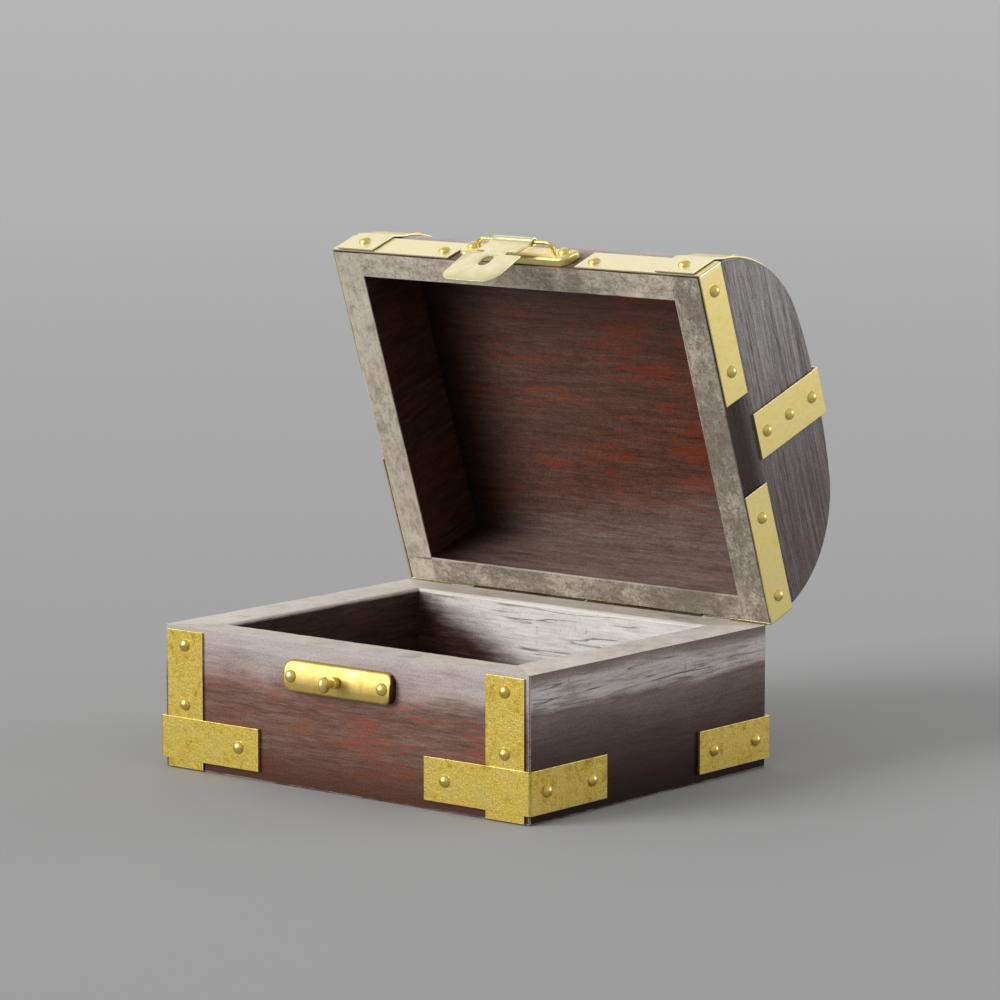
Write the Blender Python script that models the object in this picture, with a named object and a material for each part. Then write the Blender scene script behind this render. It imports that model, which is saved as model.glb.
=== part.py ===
"""Domed wooden jewelry chest with brass straps, corner brackets, a hasp and a turning catch.

The chest stands on its flat underside, with the origin at the centre of that face, +Z up and
the front towards -Y. Every lid piece is drawn as it lies when the lid is shut, and a pivot on
the hinge line then turns the lid open.
"""
import math

import bmesh
import bpy
from mathutils import Matrix, Vector

MM = 0.001

# Base of the chest, four mitred boards round a bottom panel
CHEST_WIDTH = 160.0 * MM
CHEST_DEPTH = 128.0 * MM
BASE_HEIGHT = 49.2 * MM
BASE_SIDE_THICKNESS = 16.6 * MM
BASE_FRONT_THICKNESS = 13.7 * MM
BOTTOM_THICKNESS = 8.0 * MM
BOARD_CHAMFER = 0.5 * MM
JOINT_GAP = 0.3 * MM

# Domed lid, two rails and a thick dome, hollowed underneath, between two end panels
LID_OPEN_ANGLE = math.radians(70.7)
RIM_GAP = 0.3 * MM
LID_SIDE_THICKNESS = 11.6 * MM
LID_FRONT_THICKNESS = 9.0 * MM
LID_WALL_HEIGHT = 8.6 * MM
LID_HOLLOW_DEPTH = 27.5 * MM
HAUNCH_RADIUS = 40.5 * MM
CROWN_RADIUS = 206.0 * MM
HAUNCH_STEPS = 9
CROWN_STEPS = 4

# Brass fittings
SEAT_GAP = 0.2 * MM
STRAP_WIDTH = 16.0 * MM
STRAP_EDGE_INSET = 1.8 * MM
STRAP_THICKNESS = 0.6 * MM
STRAP_BOTTOM = 0.5 * MM
STRAP_TOP_INSET = 1.2 * MM
STRAP_UPPER_RIVET_DROP = 6.2 * MM
STRAP_LOWER_RIVET_HEIGHT = 22.6 * MM
BASE_BRACKET_THICKNESS = 1.1 * MM
BASE_BRACKET_BOTTOM = 3.4 * MM
BASE_BRACKET_HEIGHT = 14.6 * MM
BASE_BRACKET_FRONT_LEG = 43.5 * MM
BASE_BRACKET_SIDE_LEG = 38.8 * MM
LID_BRACKET_THICKNESS = 0.6 * MM
LID_BRACKET_BOTTOM = 0.6 * MM
LID_BRACKET_HEIGHT = 12.2 * MM
LID_BRACKET_HASP_GAP = 4.05 * MM
LID_BRACKET_BACK_LEG = 28.0 * MM
LID_BRACKET_SIDE_LEG = 47.2 * MM
BASE_FRONT_RIVET_INSET = 8.9 * MM
BASE_SIDE_RIVET_INSET = 7.9 * MM
LID_FRONT_RIVET_INSET = 5.2 * MM
LID_FRONT_RIVET_HEIGHT = 5.4 * MM
LID_SIDE_RIVET_INSET = 10.4 * MM
CORNER_RIVET_INSET = 7.4 * MM
DOME_STRAP_BOTTOM = 0.6 * MM
DOME_STRAP_RAMP_GAP = 0.4 * MM
DOME_STRAP_SETTLE_TURN = math.radians(14.0)
DOME_STRAP_WALL_RIVET_HEIGHT = 6.8 * MM
DOME_STRAP_RIVET_TURN = math.radians(38.0)
END_STRAP_WIDTH = 16.8 * MM
END_STRAP_THICKNESS = 0.8 * MM
END_STRAP_BOTTOM = 13.2 * MM
END_STRAP_FOLD_LENGTH = 18.0 * MM
END_STRAP_RIVET_HEIGHTS = (18.6 * MM, 32.1 * MM, 45.7 * MM)
BEND_STEPS = 3

# Round-headed rivets
RIVET_HEAD_RADIUS = 2.2 * MM
RIVET_HEAD_HEIGHT = 1.7 * MM
RIVET_HEAD_SINK = 0.25 * MM
RIVET_SHANK_RADIUS = 0.9 * MM
RIVET_SHANK_LENGTH = 6.0 * MM
RIVET_HOLE_CLEARANCE = 0.25 * MM
RIVET_SEAT = 0.1 * MM
RIVET_SIDES = 12
HOLE_SIDES = 8

# Two hinges on the back
HINGE_CENTRE_INSET = 1.0 * MM
HINGE_BRACKET_GAP = 1.2 * MM
HINGE_AXIS_OUT = 1.1 * MM
HINGE_AXIS_DROP = 1.0 * MM
HINGE_LEAF_THICKNESS = 0.6 * MM
HINGE_BASE_LEAF_HEIGHT = 12.0 * MM
HINGE_LID_LEAF_HEIGHT = 10.0 * MM
HINGE_MIDDLE_KNUCKLE = 16.0 * MM
KNUCKLE_GAP = 0.3 * MM
KNUCKLE_SIDES = 16
PIN_RADIUS = 0.4 * MM
PIN_CLEARANCE = 0.12 * MM
PIN_OVERHANG = 0.6 * MM
SCREW_SPACING = 30.0 * MM
SCREW_HEAD_RADIUS = 1.5 * MM
SCREW_HEAD_HEIGHT = 0.6 * MM
SCREW_SHANK_RADIUS = 0.7 * MM
SCREW_SHANK_LENGTH = 5.0 * MM

# Hasp on the lid and the catch below it
CLASP_LENGTH = 47.5 * MM
CLASP_HEIGHT = 10.8 * MM
CLASP_THICKNESS = 3.0 * MM
CLASP_CORNER_RADIUS = 3.5 * MM
CLASP_EDGE_ROUND = 1.8 * MM
CLASP_RIVET_INSET = 3.75 * MM
CATCH_DROP = 10.9 * MM
HASP_HEIGHT_ABOVE_RIM = 6.3 * MM
WIRE_RADIUS = 0.7 * MM
WIRE_AXIS_OUT = 6.7 * MM
WIRE_AXIS_ABOVE_RIM = 5.2 * MM
WIRE_BEND_RADIUS = 2.4 * MM
BAIL_RIVET_SPACING = 3.7 * MM
BAIL_FOOT_DEPTH = 2.2 * MM
BAIL_HOLE_CLEARANCE = 0.2 * MM
FLAP_SHEET = 0.7 * MM
ROLL_CLEARANCE = 0.15 * MM
ROLL_START_TURN = math.radians(-250.0)
ROLL_LEAVE_TURN = math.radians(45.0)
ROLL_STEPS = 18
NECK_PLANE_OUT = 6.8 * MM
NECK_BEND_BELOW_RIM = 5.8 * MM
TONGUE_TILT = math.radians(7.5)
TONGUE_TIP_BELOW_RIM = 24.0 * MM
TONGUE_WIDTH = 24.0 * MM
TONGUE_CORNER_RADIUS = 5.2 * MM
FLAP_STRAP_WIDTH = 17.6 * MM
FLAP_NECK_WIDTH = 10.0 * MM
NOTCH_TOP_BELOW_RIM = 4.6 * MM
NOTCH_BOTTOM_BELOW_RIM = 6.9 * MM
SLOT_CLEARANCE = 0.35 * MM
KNOB_WIDTH = 3.8 * MM
KNOB_LENGTH = 5.6 * MM
KNOB_DEPTH = 4.4 * MM
KNOB_CENTRE_OUT = 8.9 * MM
KNOB_NECK_RADIUS = 1.4 * MM
KNOB_COLLAR_RADIUS = 2.0 * MM
KNOB_COLLAR_HEIGHT = 2.0 * MM
KNOB_FLANGE_RADIUS = 2.4 * MM
KNOB_FLANGE_THICKNESS = 0.8 * MM
KNOB_CLEARANCE = 0.25 * MM
KNOB_SIDES = 16
CUT_MARGIN = 2.0 * MM

# Places that follow from the sizes above
FRONT_Y = -CHEST_DEPTH / 2
RIM_Z = BASE_HEIGHT + RIM_GAP
STRAP_CENTRE_X = CHEST_WIDTH / 2 - STRAP_EDGE_INSET - STRAP_WIDTH / 2
CATCH_HEIGHT = BASE_HEIGHT - CATCH_DROP
LID_BRACKET_FACE = SEAT_GAP + LID_BRACKET_THICKNESS
LID_BRACKET_FRONT_LEG = CHEST_WIDTH / 2 - CLASP_LENGTH / 2 - LID_BRACKET_HASP_GAP
DOME_STRAP_WALL_SEAT = LID_BRACKET_FACE + SEAT_GAP
STRAP_FACE = SEAT_GAP + STRAP_THICKNESS
END_STRAP_FOLD_SEAT = STRAP_FACE + SEAT_GAP
CLASP_FACE = SEAT_GAP + CLASP_THICKNESS
BAIL_WIDTH = CLASP_LENGTH - 2 * (CLASP_RIVET_INSET + BAIL_RIVET_SPACING)
HINGE_AXIS = Vector((0.0, CHEST_DEPTH / 2 + HINGE_AXIS_OUT, BASE_HEIGHT - HINGE_AXIS_DROP))
HINGE_WIDTH = CHEST_WIDTH / 2 - LID_BRACKET_BACK_LEG - HINGE_BRACKET_GAP - HINGE_CENTRE_INSET
HINGE_CENTRE_X = HINGE_CENTRE_INSET + HINGE_WIDTH / 2
WIRE_AXIS = Vector((0.0, FRONT_Y - WIRE_AXIS_OUT, RIM_Z + WIRE_AXIS_ABOVE_RIM))
CROWN_REACH = CROWN_RADIUS - HAUNCH_RADIUS
HAUNCH_INSET = CHEST_DEPTH / 2 - HAUNCH_RADIUS
HAUNCH_TURN = math.acos(HAUNCH_INSET / CROWN_REACH)
CROWN_CENTRE_Z = LID_WALL_HEIGHT - CROWN_REACH * math.sin(HAUNCH_TURN)
LID_APEX = CROWN_CENTRE_Z + CROWN_RADIUS

X_AXIS = Vector((1.0, 0.0, 0.0))
Y_AXIS = Vector((0.0, 1.0, 0.0))
Z_AXIS = Vector((0.0, 0.0, 1.0))

WOOD = {"colour": (0.115, 0.062, 0.050, 1.0), "roughness": 0.42, "metallic": 0.0}
BRASS = {"colour": (0.68, 0.50, 0.13, 1.0), "roughness": 0.30, "metallic": 1.0}
STEEL = {"colour": (0.45, 0.44, 0.42, 1.0), "roughness": 0.35, "metallic": 1.0}


# Shared builders

def clear_scene():
    for item in list(bpy.data.objects):
        bpy.data.objects.remove(item, do_unlink=True)


def make_material(name, look):
    material = bpy.data.materials.new(name)
    material.use_nodes = True
    shader = material.node_tree.nodes["Principled BSDF"]
    shader.inputs["Base Color"].default_value = look["colour"]
    shader.inputs["Roughness"].default_value = look["roughness"]
    shader.inputs["Metallic"].default_value = look["metallic"]
    return material


def add_pivot(name, location, parent=None):
    pivot = bpy.data.objects.new(name, None)
    bpy.context.scene.collection.objects.link(pivot)
    pivot.parent = parent
    pivot.location = location
    return pivot


def add_object(name, mesh_builder, look, pivot=None, pivot_place=None):
    """Turn a mesh drawn in chest coordinates into an object, hung from a pivot if it moves."""
    mesh = bpy.data.meshes.new(name)
    mesh_builder.to_mesh(mesh)
    mesh_builder.free()
    item = bpy.data.objects.new(name, mesh)
    bpy.context.scene.collection.objects.link(item)
    mesh.materials.append(make_material(name + "_finish", look))
    if pivot is not None:
        item.parent = pivot
        item.location = -pivot_place
    return item


def hide_cutter(item):
    item.hide_render = True
    item.display_type = "WIRE"
    return item


def cut(item, cutter, operation="DIFFERENCE"):
    modifier = item.modifiers.new(cutter.name, "BOOLEAN")
    modifier.operation = operation
    modifier.object = cutter


def chamfer(item):
    modifier = item.modifiers.new("edge_chamfer", "BEVEL")
    modifier.width = BOARD_CHAMFER
    modifier.segments = 1
    modifier.limit_method = "ANGLE"


def shade_round(item):
    item.data.shade_smooth()
    item.data.set_sharp_from_angle(angle=math.radians(40.0))


def extrude_outline(outline, across, up, along, start, end):
    """Solid with the given flat outline, drawn on two axes and pushed along the third."""
    builder = bmesh.new()
    corners = [builder.verts.new(u * across + v * up + start * along) for u, v in outline]
    face = builder.faces.new(corners)
    pushed = bmesh.ops.extrude_face_region(builder, geom=[face])
    moved = [part for part in pushed["geom"] if isinstance(part, bmesh.types.BMVert)]
    bmesh.ops.translate(builder, verts=moved, vec=(end - start) * along)
    bmesh.ops.recalc_face_normals(builder, faces=builder.faces)
    return builder


def make_block(low, high):
    outline = [(low[0], low[1]), (high[0], low[1]), (high[0], high[1]), (low[0], high[1])]
    return extrude_outline(outline, X_AXIS, Y_AXIS, Z_AXIS, low[2], high[2])


def turn_profile(profile, sides):
    """Solid of revolution about Z from (radius, height) points that start and end on the axis."""
    builder = bmesh.new()
    points = [builder.verts.new((radius, 0.0, height)) for radius, height in profile]
    edges = [builder.edges.new(pair) for pair in zip(points, points[1:])]
    bmesh.ops.spin(builder, geom=points + edges, cent=(0, 0, 0), axis=(0, 0, 1),
                   angle=math.tau, steps=sides, use_merge=True)
    bmesh.ops.remove_doubles(builder, verts=builder.verts, dist=0.001 * MM)
    bmesh.ops.recalc_face_normals(builder, faces=builder.faces)
    return builder


def arc_points(centre, radius, start, end, steps):
    angles = [start + (end - start) * step / steps for step in range(steps + 1)]
    return [(centre[0] + radius * math.cos(a), centre[1] + radius * math.sin(a)) for a in angles]


def merge_into(target, source, matrix):
    """Add a transformed copy of one builder's mesh to another."""
    copy = source.copy()
    copy.transform(matrix)
    scratch = bpy.data.meshes.new("scratch")
    copy.to_mesh(scratch)
    copy.free()
    target.from_mesh(scratch)
    bpy.data.meshes.remove(scratch)


def place_along(seat, direction):
    """Transform that stands a turned piece on its seat, pointing out along a direction."""
    return Matrix.Translation(seat) @ direction.to_track_quat("Z", "Y").to_matrix().to_4x4()


def rod_between(radius, sides, start, end):
    """Straight round rod as a closed solid."""
    length = (end - start).length
    rod = turn_profile([(0.0, length), (radius, length), (radius, 0.0), (0.0, 0.0)], sides)
    rod.transform(place_along(start, (end - start).normalized()))
    return rod


# Fasteners

def rivet_profile():
    steps = 3
    sweep = [math.pi / 2 * step / steps for step in range(steps + 1)]
    dome = [(RIVET_HEAD_RADIUS * math.sin(a), RIVET_HEAD_HEIGHT * math.cos(a)) for a in sweep]
    dome[0] = (0.0, RIVET_HEAD_HEIGHT)
    shank = [(RIVET_SHANK_RADIUS, 0.0), (RIVET_SHANK_RADIUS, -RIVET_SHANK_LENGTH)]
    return dome + shank + [(0.0, -RIVET_SHANK_LENGTH)]


def screw_profile():
    head = [(0.0, SCREW_HEAD_HEIGHT), (SCREW_HEAD_RADIUS, SCREW_HEAD_HEIGHT), (SCREW_HEAD_RADIUS, 0.0)]
    shank = [(SCREW_SHANK_RADIUS, 0.0), (SCREW_SHANK_RADIUS, -SCREW_SHANK_LENGTH)]
    return head + shank + [(0.0, -SCREW_SHANK_LENGTH)]


def add_fastener(name, profile, seat, direction, pivot=None, pivot_place=None):
    """A loose rivet or screw with its head just over its seat."""
    fastener = turn_profile(profile, RIVET_SIDES)
    fastener.transform(place_along(seat + direction * RIVET_SEAT, direction))
    shade_round(add_object(name, fastener, BRASS, pivot, pivot_place))


def fuse_rivets(piece, seats, pivot=None, pivot_place=None):
    """Join the rivets of a thin brass piece to it, heads sunk a little into its face."""
    template = turn_profile(rivet_profile(), RIVET_SIDES)
    group = bmesh.new()
    for seat, direction in seats:
        merge_into(group, template, place_along(seat - direction * RIVET_HEAD_SINK, direction))
    template.free()
    helper = add_object(piece.name + "_rivets", group, BRASS, pivot, pivot_place)
    shade_round(helper)
    cut(piece, hide_cutter(helper), "UNION")


def drill(name, seats, shank_radius, shank_length, pieces, pivot=None, pivot_place=None):
    """Cut the fasteners' holes through the brass under a head and into the wood behind it."""
    radius = shank_radius + RIVET_HOLE_CLEARANCE
    depth = shank_length + RIVET_HEAD_SINK + RIVET_HOLE_CLEARANCE
    holes = bmesh.new()
    for seat, direction in seats:
        hole = rod_between(radius, HOLE_SIDES, seat - direction * depth, seat + direction * CUT_MARGIN)
        merge_into(holes, hole, Matrix.Identity(4))
        hole.free()
    cutter = hide_cutter(add_object(name, holes, BRASS, pivot, pivot_place))
    for piece in pieces:
        cut(piece, cutter)


# Base

def build_base_boards():
    half_width = CHEST_WIDTH / 2
    half_depth = CHEST_DEPTH / 2
    mitre = math.hypot(BASE_SIDE_THICKNESS, BASE_FRONT_THICKNESS)
    front_setback = JOINT_GAP / 2 * mitre / BASE_FRONT_THICKNESS
    side_setback = JOINT_GAP / 2 * mitre / BASE_SIDE_THICKNESS
    boards = {}
    for name, side in (("front", -1), ("back", 1)):
        outer = half_width - front_setback
        inner = outer - BASE_SIDE_THICKNESS
        outer_y = side * half_depth
        inner_y = side * (half_depth - BASE_FRONT_THICKNESS)
        outline = [(-outer, outer_y), (outer, outer_y), (inner, inner_y), (-inner, inner_y)]
        solid = extrude_outline(outline, X_AXIS, Y_AXIS, Z_AXIS, 0.0, BASE_HEIGHT)
        boards[name] = add_object("base_" + name + "_board", solid, WOOD)
    for name, side in (("left", -1), ("right", 1)):
        outer = half_depth - side_setback
        inner = outer - BASE_FRONT_THICKNESS
        outer_x = side * half_width
        inner_x = side * (half_width - BASE_SIDE_THICKNESS)
        outline = [(outer_x, -outer), (outer_x, outer), (inner_x, inner), (inner_x, -inner)]
        solid = extrude_outline(outline, X_AXIS, Y_AXIS, Z_AXIS, 0.0, BASE_HEIGHT)
        boards[name] = add_object("base_" + name + "_board", solid, WOOD)
    panel_x = half_width - BASE_SIDE_THICKNESS - JOINT_GAP
    panel_y = half_depth - BASE_FRONT_THICKNESS - JOINT_GAP
    panel = make_block((-panel_x, -panel_y, 0.0), (panel_x, panel_y, BOTTOM_THICKNESS))
    boards["bottom"] = add_object("base_bottom_panel", panel, WOOD)
    for board in boards.values():
        chamfer(board)
    return boards


def build_base_straps(boards):
    """Upright straps near the corners of the front and back, each held by two rivets."""
    rivet_heights = (BASE_HEIGHT - STRAP_UPPER_RIVET_DROP, STRAP_LOWER_RIVET_HEIGHT)
    seats = []
    for face, side_y in (("front", -1), ("back", 1)):
        for hand, side_x in (("left", -1), ("right", 1)):
            centre = side_x * STRAP_CENTRE_X
            near = side_y * (CHEST_DEPTH / 2 + SEAT_GAP)
            far = side_y * (CHEST_DEPTH / 2 + STRAP_FACE)
            low = (centre - STRAP_WIDTH / 2, min(near, far), STRAP_BOTTOM)
            high = (centre + STRAP_WIDTH / 2, max(near, far), BASE_HEIGHT - STRAP_TOP_INSET)
            strap = add_object(f"base_{face}_{hand}_strap", make_block(low, high), BRASS)
            own = [(Vector((centre, far, height)), side_y * Y_AXIS) for height in rivet_heights]
            fuse_rivets(strap, own)
            seats += own
    receivers = [boards["front"], boards["back"]]
    drill("base_strap_holes", seats, RIVET_SHANK_RADIUS, RIVET_SHANK_LENGTH, receivers)


def corner_bracket(side_x, side_y, thickness, long_leg, side_leg, bottom, height, strap_relief):
    """Flat brass bent once round an upright corner, with a channel over a strap if one is there."""
    inner_x = CHEST_WIDTH / 2 + SEAT_GAP
    inner_y = CHEST_DEPTH / 2 + SEAT_GAP
    end_x = CHEST_WIDTH / 2 - long_leg
    end_y = CHEST_DEPTH / 2 - side_leg
    outline = [(end_x, inner_y), (end_x, inner_y + thickness)]
    outline += arc_points((inner_x, inner_y), thickness, math.pi / 2, 0.0, BEND_STEPS)
    outline += [(inner_x + thickness, end_y), (inner_x, end_y), (inner_x, inner_y)]
    if strap_relief:
        channel_face = CHEST_DEPTH / 2 + STRAP_FACE + SEAT_GAP
        channel_far = STRAP_CENTRE_X + STRAP_WIDTH / 2 + SEAT_GAP
        channel_near = STRAP_CENTRE_X - STRAP_WIDTH / 2 - SEAT_GAP
        outline += [(channel_far, inner_y), (channel_far, channel_face)]
        outline += [(channel_near, channel_face), (channel_near, inner_y)]
    return extrude_outline(outline, side_x * X_AXIS, side_y * Y_AXIS, Z_AXIS, bottom, bottom + height)


def bracket_seats(side_x, side_y, face, long_leg, side_leg, heights, long_inset, side_inset):
    """Rivet seats of one bracket: one on its front or back leg, two on its side leg.

    The two heights are those of the front or back rivet and of the side rivets.
    """
    front_x = CHEST_WIDTH / 2 - long_leg + long_inset
    side_x_face = side_x * (CHEST_WIDTH / 2 + face)
    front_y_face = side_y * (CHEST_DEPTH / 2 + face)
    side_ys = (CHEST_DEPTH / 2 - side_leg + side_inset, CHEST_DEPTH / 2 - CORNER_RIVET_INSET)
    seats = [(Vector((side_x * front_x, front_y_face, heights[0])), side_y * Y_AXIS)]
    seats += [(Vector((side_x_face, side_y * y, heights[1])), side_x * X_AXIS) for y in side_ys]
    return seats


def build_base_brackets(boards):
    face = SEAT_GAP + BASE_BRACKET_THICKNESS
    middle = BASE_BRACKET_BOTTOM + BASE_BRACKET_HEIGHT / 2
    seats = []
    for front, side_y in (("front", -1), ("back", 1)):
        for hand, side_x in (("left", -1), ("right", 1)):
            solid = corner_bracket(side_x, side_y, BASE_BRACKET_THICKNESS, BASE_BRACKET_FRONT_LEG,
                                   BASE_BRACKET_SIDE_LEG, BASE_BRACKET_BOTTOM, BASE_BRACKET_HEIGHT, True)
            bracket = add_object(f"base_{front}_{hand}_bracket", solid, BRASS)
            own = bracket_seats(side_x, side_y, face, BASE_BRACKET_FRONT_LEG, BASE_BRACKET_SIDE_LEG,
                                (middle, middle), BASE_FRONT_RIVET_INSET, BASE_SIDE_RIVET_INSET)
            fuse_rivets(bracket, own)
            seats += own
    sides = [boards[name] for name in ("front", "back", "left", "right")]
    drill("base_bracket_holes", seats, RIVET_SHANK_RADIUS, RIVET_SHANK_LENGTH, sides)


# Lid

def dome_point(turn, lift):
    """Point over the lid's curved outside as (depth, height above the rim), raised by lift.

    The turn runs from 0 at the top of the front wall to pi at the top of the back wall.
    """
    if turn <= HAUNCH_TURN:
        centre, radius = (-HAUNCH_INSET, LID_WALL_HEIGHT), HAUNCH_RADIUS
    elif turn >= math.pi - HAUNCH_TURN:
        centre, radius = (HAUNCH_INSET, LID_WALL_HEIGHT), HAUNCH_RADIUS
    else:
        centre, radius = (0.0, CROWN_CENTRE_Z), CROWN_RADIUS
    reach = radius + lift
    return (centre[0] - reach * math.cos(turn), centre[1] + reach * math.sin(turn))


def dome_turns(start):
    """Turns from a starting turn over the front haunch, the crown and the back haunch."""
    haunch = [start + (HAUNCH_TURN - start) * step / HAUNCH_STEPS for step in range(HAUNCH_STEPS)]
    crown_sweep = math.pi - 2 * HAUNCH_TURN
    crown = [HAUNCH_TURN + crown_sweep * step / CROWN_STEPS for step in range(1, CROWN_STEPS)]
    rising = haunch + [HAUNCH_TURN]
    return rising + crown + [math.pi - turn for turn in reversed(rising)]


def raise_to_rim(outline):
    return [(depth, RIM_Z + height) for depth, height in outline]


def build_lid_wood(pivot):
    half_depth = CHEST_DEPTH / 2
    inner_x = CHEST_WIDTH / 2 - LID_SIDE_THICKNESS
    span = inner_x - JOINT_GAP
    wood = {}
    skin = [dome_point(turn, 0.0) for turn in dome_turns(0.0)]
    end_outline = raise_to_rim([(-half_depth, 0.0)] + skin + [(half_depth, 0.0)])
    for hand, side in (("left", -1), ("right", 1)):
        solid = extrude_outline(end_outline, Y_AXIS, Z_AXIS, side * X_AXIS, inner_x, CHEST_WIDTH / 2)
        wood[hand] = add_object(f"lid_{hand}_end", solid, WOOD, pivot, HINGE_AXIS)
    inner_y = half_depth - LID_FRONT_THICKNESS
    hollow = [(inner_y, LID_WALL_HEIGHT), (inner_y, LID_HOLLOW_DEPTH)]
    hollow += [(-inner_y, LID_HOLLOW_DEPTH), (-inner_y, LID_WALL_HEIGHT)]
    dome = extrude_outline(raise_to_rim(skin + hollow), Y_AXIS, Z_AXIS, X_AXIS, -span, span)
    wood["dome"] = add_object("lid_dome_panel", dome, WOOD, pivot, HINGE_AXIS)
    top = RIM_Z + LID_WALL_HEIGHT - JOINT_GAP
    for name, near in (("front", -half_depth), ("back", half_depth - LID_FRONT_THICKNESS)):
        rail = make_block((-span, near, RIM_Z), (span, near + LID_FRONT_THICKNESS, top))
        wood[name] = add_object(f"lid_{name}_rail", rail, WOOD, pivot, HINGE_AXIS)
    for board in wood.values():
        chamfer(board)
    return wood


def build_lid_brackets(pivot, wood):
    middle = RIM_Z + LID_BRACKET_BOTTOM + LID_BRACKET_HEIGHT / 2
    heights = (RIM_Z + LID_FRONT_RIVET_HEIGHT, middle)
    brackets = []
    seats = []
    for front, side_y, leg in (("front", -1, LID_BRACKET_FRONT_LEG), ("back", 1, LID_BRACKET_BACK_LEG)):
        for hand, side_x in (("left", -1), ("right", 1)):
            solid = corner_bracket(side_x, side_y, LID_BRACKET_THICKNESS, leg, LID_BRACKET_SIDE_LEG,
                                   RIM_Z + LID_BRACKET_BOTTOM, LID_BRACKET_HEIGHT, False)
            bracket = add_object(f"lid_{front}_{hand}_bracket", solid, BRASS, pivot, HINGE_AXIS)
            own = bracket_seats(side_x, side_y, LID_BRACKET_FACE, leg, LID_BRACKET_SIDE_LEG,
                                heights, LID_FRONT_RIVET_INSET, LID_SIDE_RIVET_INSET)
            fuse_rivets(bracket, own, pivot, HINGE_AXIS)
            brackets.append(bracket)
            seats += own
    receivers = [wood[name] for name in ("front", "back", "left", "right")]
    drill("lid_bracket_holes", seats, RIVET_SHANK_RADIUS, RIVET_SHANK_LENGTH, receivers, pivot, HINGE_AXIS)
    return brackets


def dome_strap_edge(lift):
    """One face of a dome strap, from the front wall over the dome to the back wall.

    It stands clear of the corner bracket on the wall, then settles onto the wood.
    """
    wall = CHEST_DEPTH / 2 + DOME_STRAP_WALL_SEAT + lift
    ramp = LID_BRACKET_BOTTOM + LID_BRACKET_HEIGHT + DOME_STRAP_RAMP_GAP
    over = [dome_point(turn, SEAT_GAP + lift) for turn in dome_turns(DOME_STRAP_SETTLE_TURN)]
    front = [(-wall, DOME_STRAP_BOTTOM), (-wall, ramp)]
    back = [(wall, ramp), (wall, DOME_STRAP_BOTTOM)]
    return front + over + back


def dome_strap_seats(side_x):
    """Rivet seats along one dome strap, on both walls and on both haunches."""
    centre = side_x * STRAP_CENTRE_X
    wall = CHEST_DEPTH / 2 + DOME_STRAP_WALL_SEAT + STRAP_THICKNESS
    wall_z = RIM_Z + DOME_STRAP_WALL_RIVET_HEIGHT
    seats = [(Vector((centre, side_y * wall, wall_z)), side_y * Y_AXIS) for side_y in (-1, 1)]
    for turn in (DOME_STRAP_RIVET_TURN, math.pi - DOME_STRAP_RIVET_TURN):
        depth, height = dome_point(turn, STRAP_FACE)
        outward = Vector((0.0, -math.cos(turn), math.sin(turn)))
        seats.append((Vector((centre, depth, RIM_Z + height)), outward))
    return seats


def end_strap_seats(side_x):
    """Rivet seats down one end strap, with one more on its fold over the crown."""
    face_x = side_x * (CHEST_WIDTH / 2 + SEAT_GAP + END_STRAP_THICKNESS)
    crown_z = RIM_Z + LID_APEX + END_STRAP_FOLD_SEAT + END_STRAP_THICKNESS
    seats = [(Vector((face_x, 0.0, RIM_Z + height)), side_x * X_AXIS) for height in END_STRAP_RIVET_HEIGHTS]
    return seats + [(Vector((side_x * STRAP_CENTRE_X, 0.0, crown_z)), Z_AXIS)]


def build_lid_straps(pivot, wood, brackets):
    """Straps over the dome, and straps down the ends that fold over them at the crown."""
    outline = raise_to_rim(dome_strap_edge(0.0) + dome_strap_edge(STRAP_THICKNESS)[::-1])
    face_x = CHEST_WIDTH / 2 + SEAT_GAP
    fold_z = LID_APEX + END_STRAP_FOLD_SEAT
    fold_end = CHEST_WIDTH / 2 - END_STRAP_FOLD_LENGTH
    end_outline = [(face_x, END_STRAP_BOTTOM), (face_x + END_STRAP_THICKNESS, END_STRAP_BOTTOM)]
    end_outline += arc_points((face_x, fold_z), END_STRAP_THICKNESS, 0.0, math.pi / 2, BEND_STEPS)
    end_outline += [(fold_end, fold_z + END_STRAP_THICKNESS), (fold_end, fold_z), (face_x, fold_z)]
    dome_straps = []
    dome_seats = []
    end_seats = []
    for hand, side in (("left", -1), ("right", 1)):
        near = STRAP_CENTRE_X - STRAP_WIDTH / 2
        far = STRAP_CENTRE_X + STRAP_WIDTH / 2
        band = extrude_outline(outline, Y_AXIS, Z_AXIS, side * X_AXIS, near, far)
        dome_strap = add_object(f"lid_{hand}_dome_strap", band, BRASS, pivot, HINGE_AXIS)
        fuse_rivets(dome_strap, dome_strap_seats(side), pivot, HINGE_AXIS)
        dome_straps.append(dome_strap)
        dome_seats += dome_strap_seats(side)
        fold = extrude_outline(raise_to_rim(end_outline), side * X_AXIS, Z_AXIS, Y_AXIS,
                               -END_STRAP_WIDTH / 2, END_STRAP_WIDTH / 2)
        end_strap = add_object(f"lid_{hand}_end_strap", fold, BRASS, pivot, HINGE_AXIS)
        fuse_rivets(end_strap, end_strap_seats(side), pivot, HINGE_AXIS)
        end_seats += end_strap_seats(side)
    ends = [wood["left"], wood["right"]]
    drill("dome_strap_holes", dome_seats, RIVET_SHANK_RADIUS, RIVET_SHANK_LENGTH, brackets + ends,
          pivot, HINGE_AXIS)
    drill("end_strap_holes", end_seats, RIVET_SHANK_RADIUS, RIVET_SHANK_LENGTH, dome_straps + ends,
          pivot, HINGE_AXIS)


# Hinges

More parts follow.
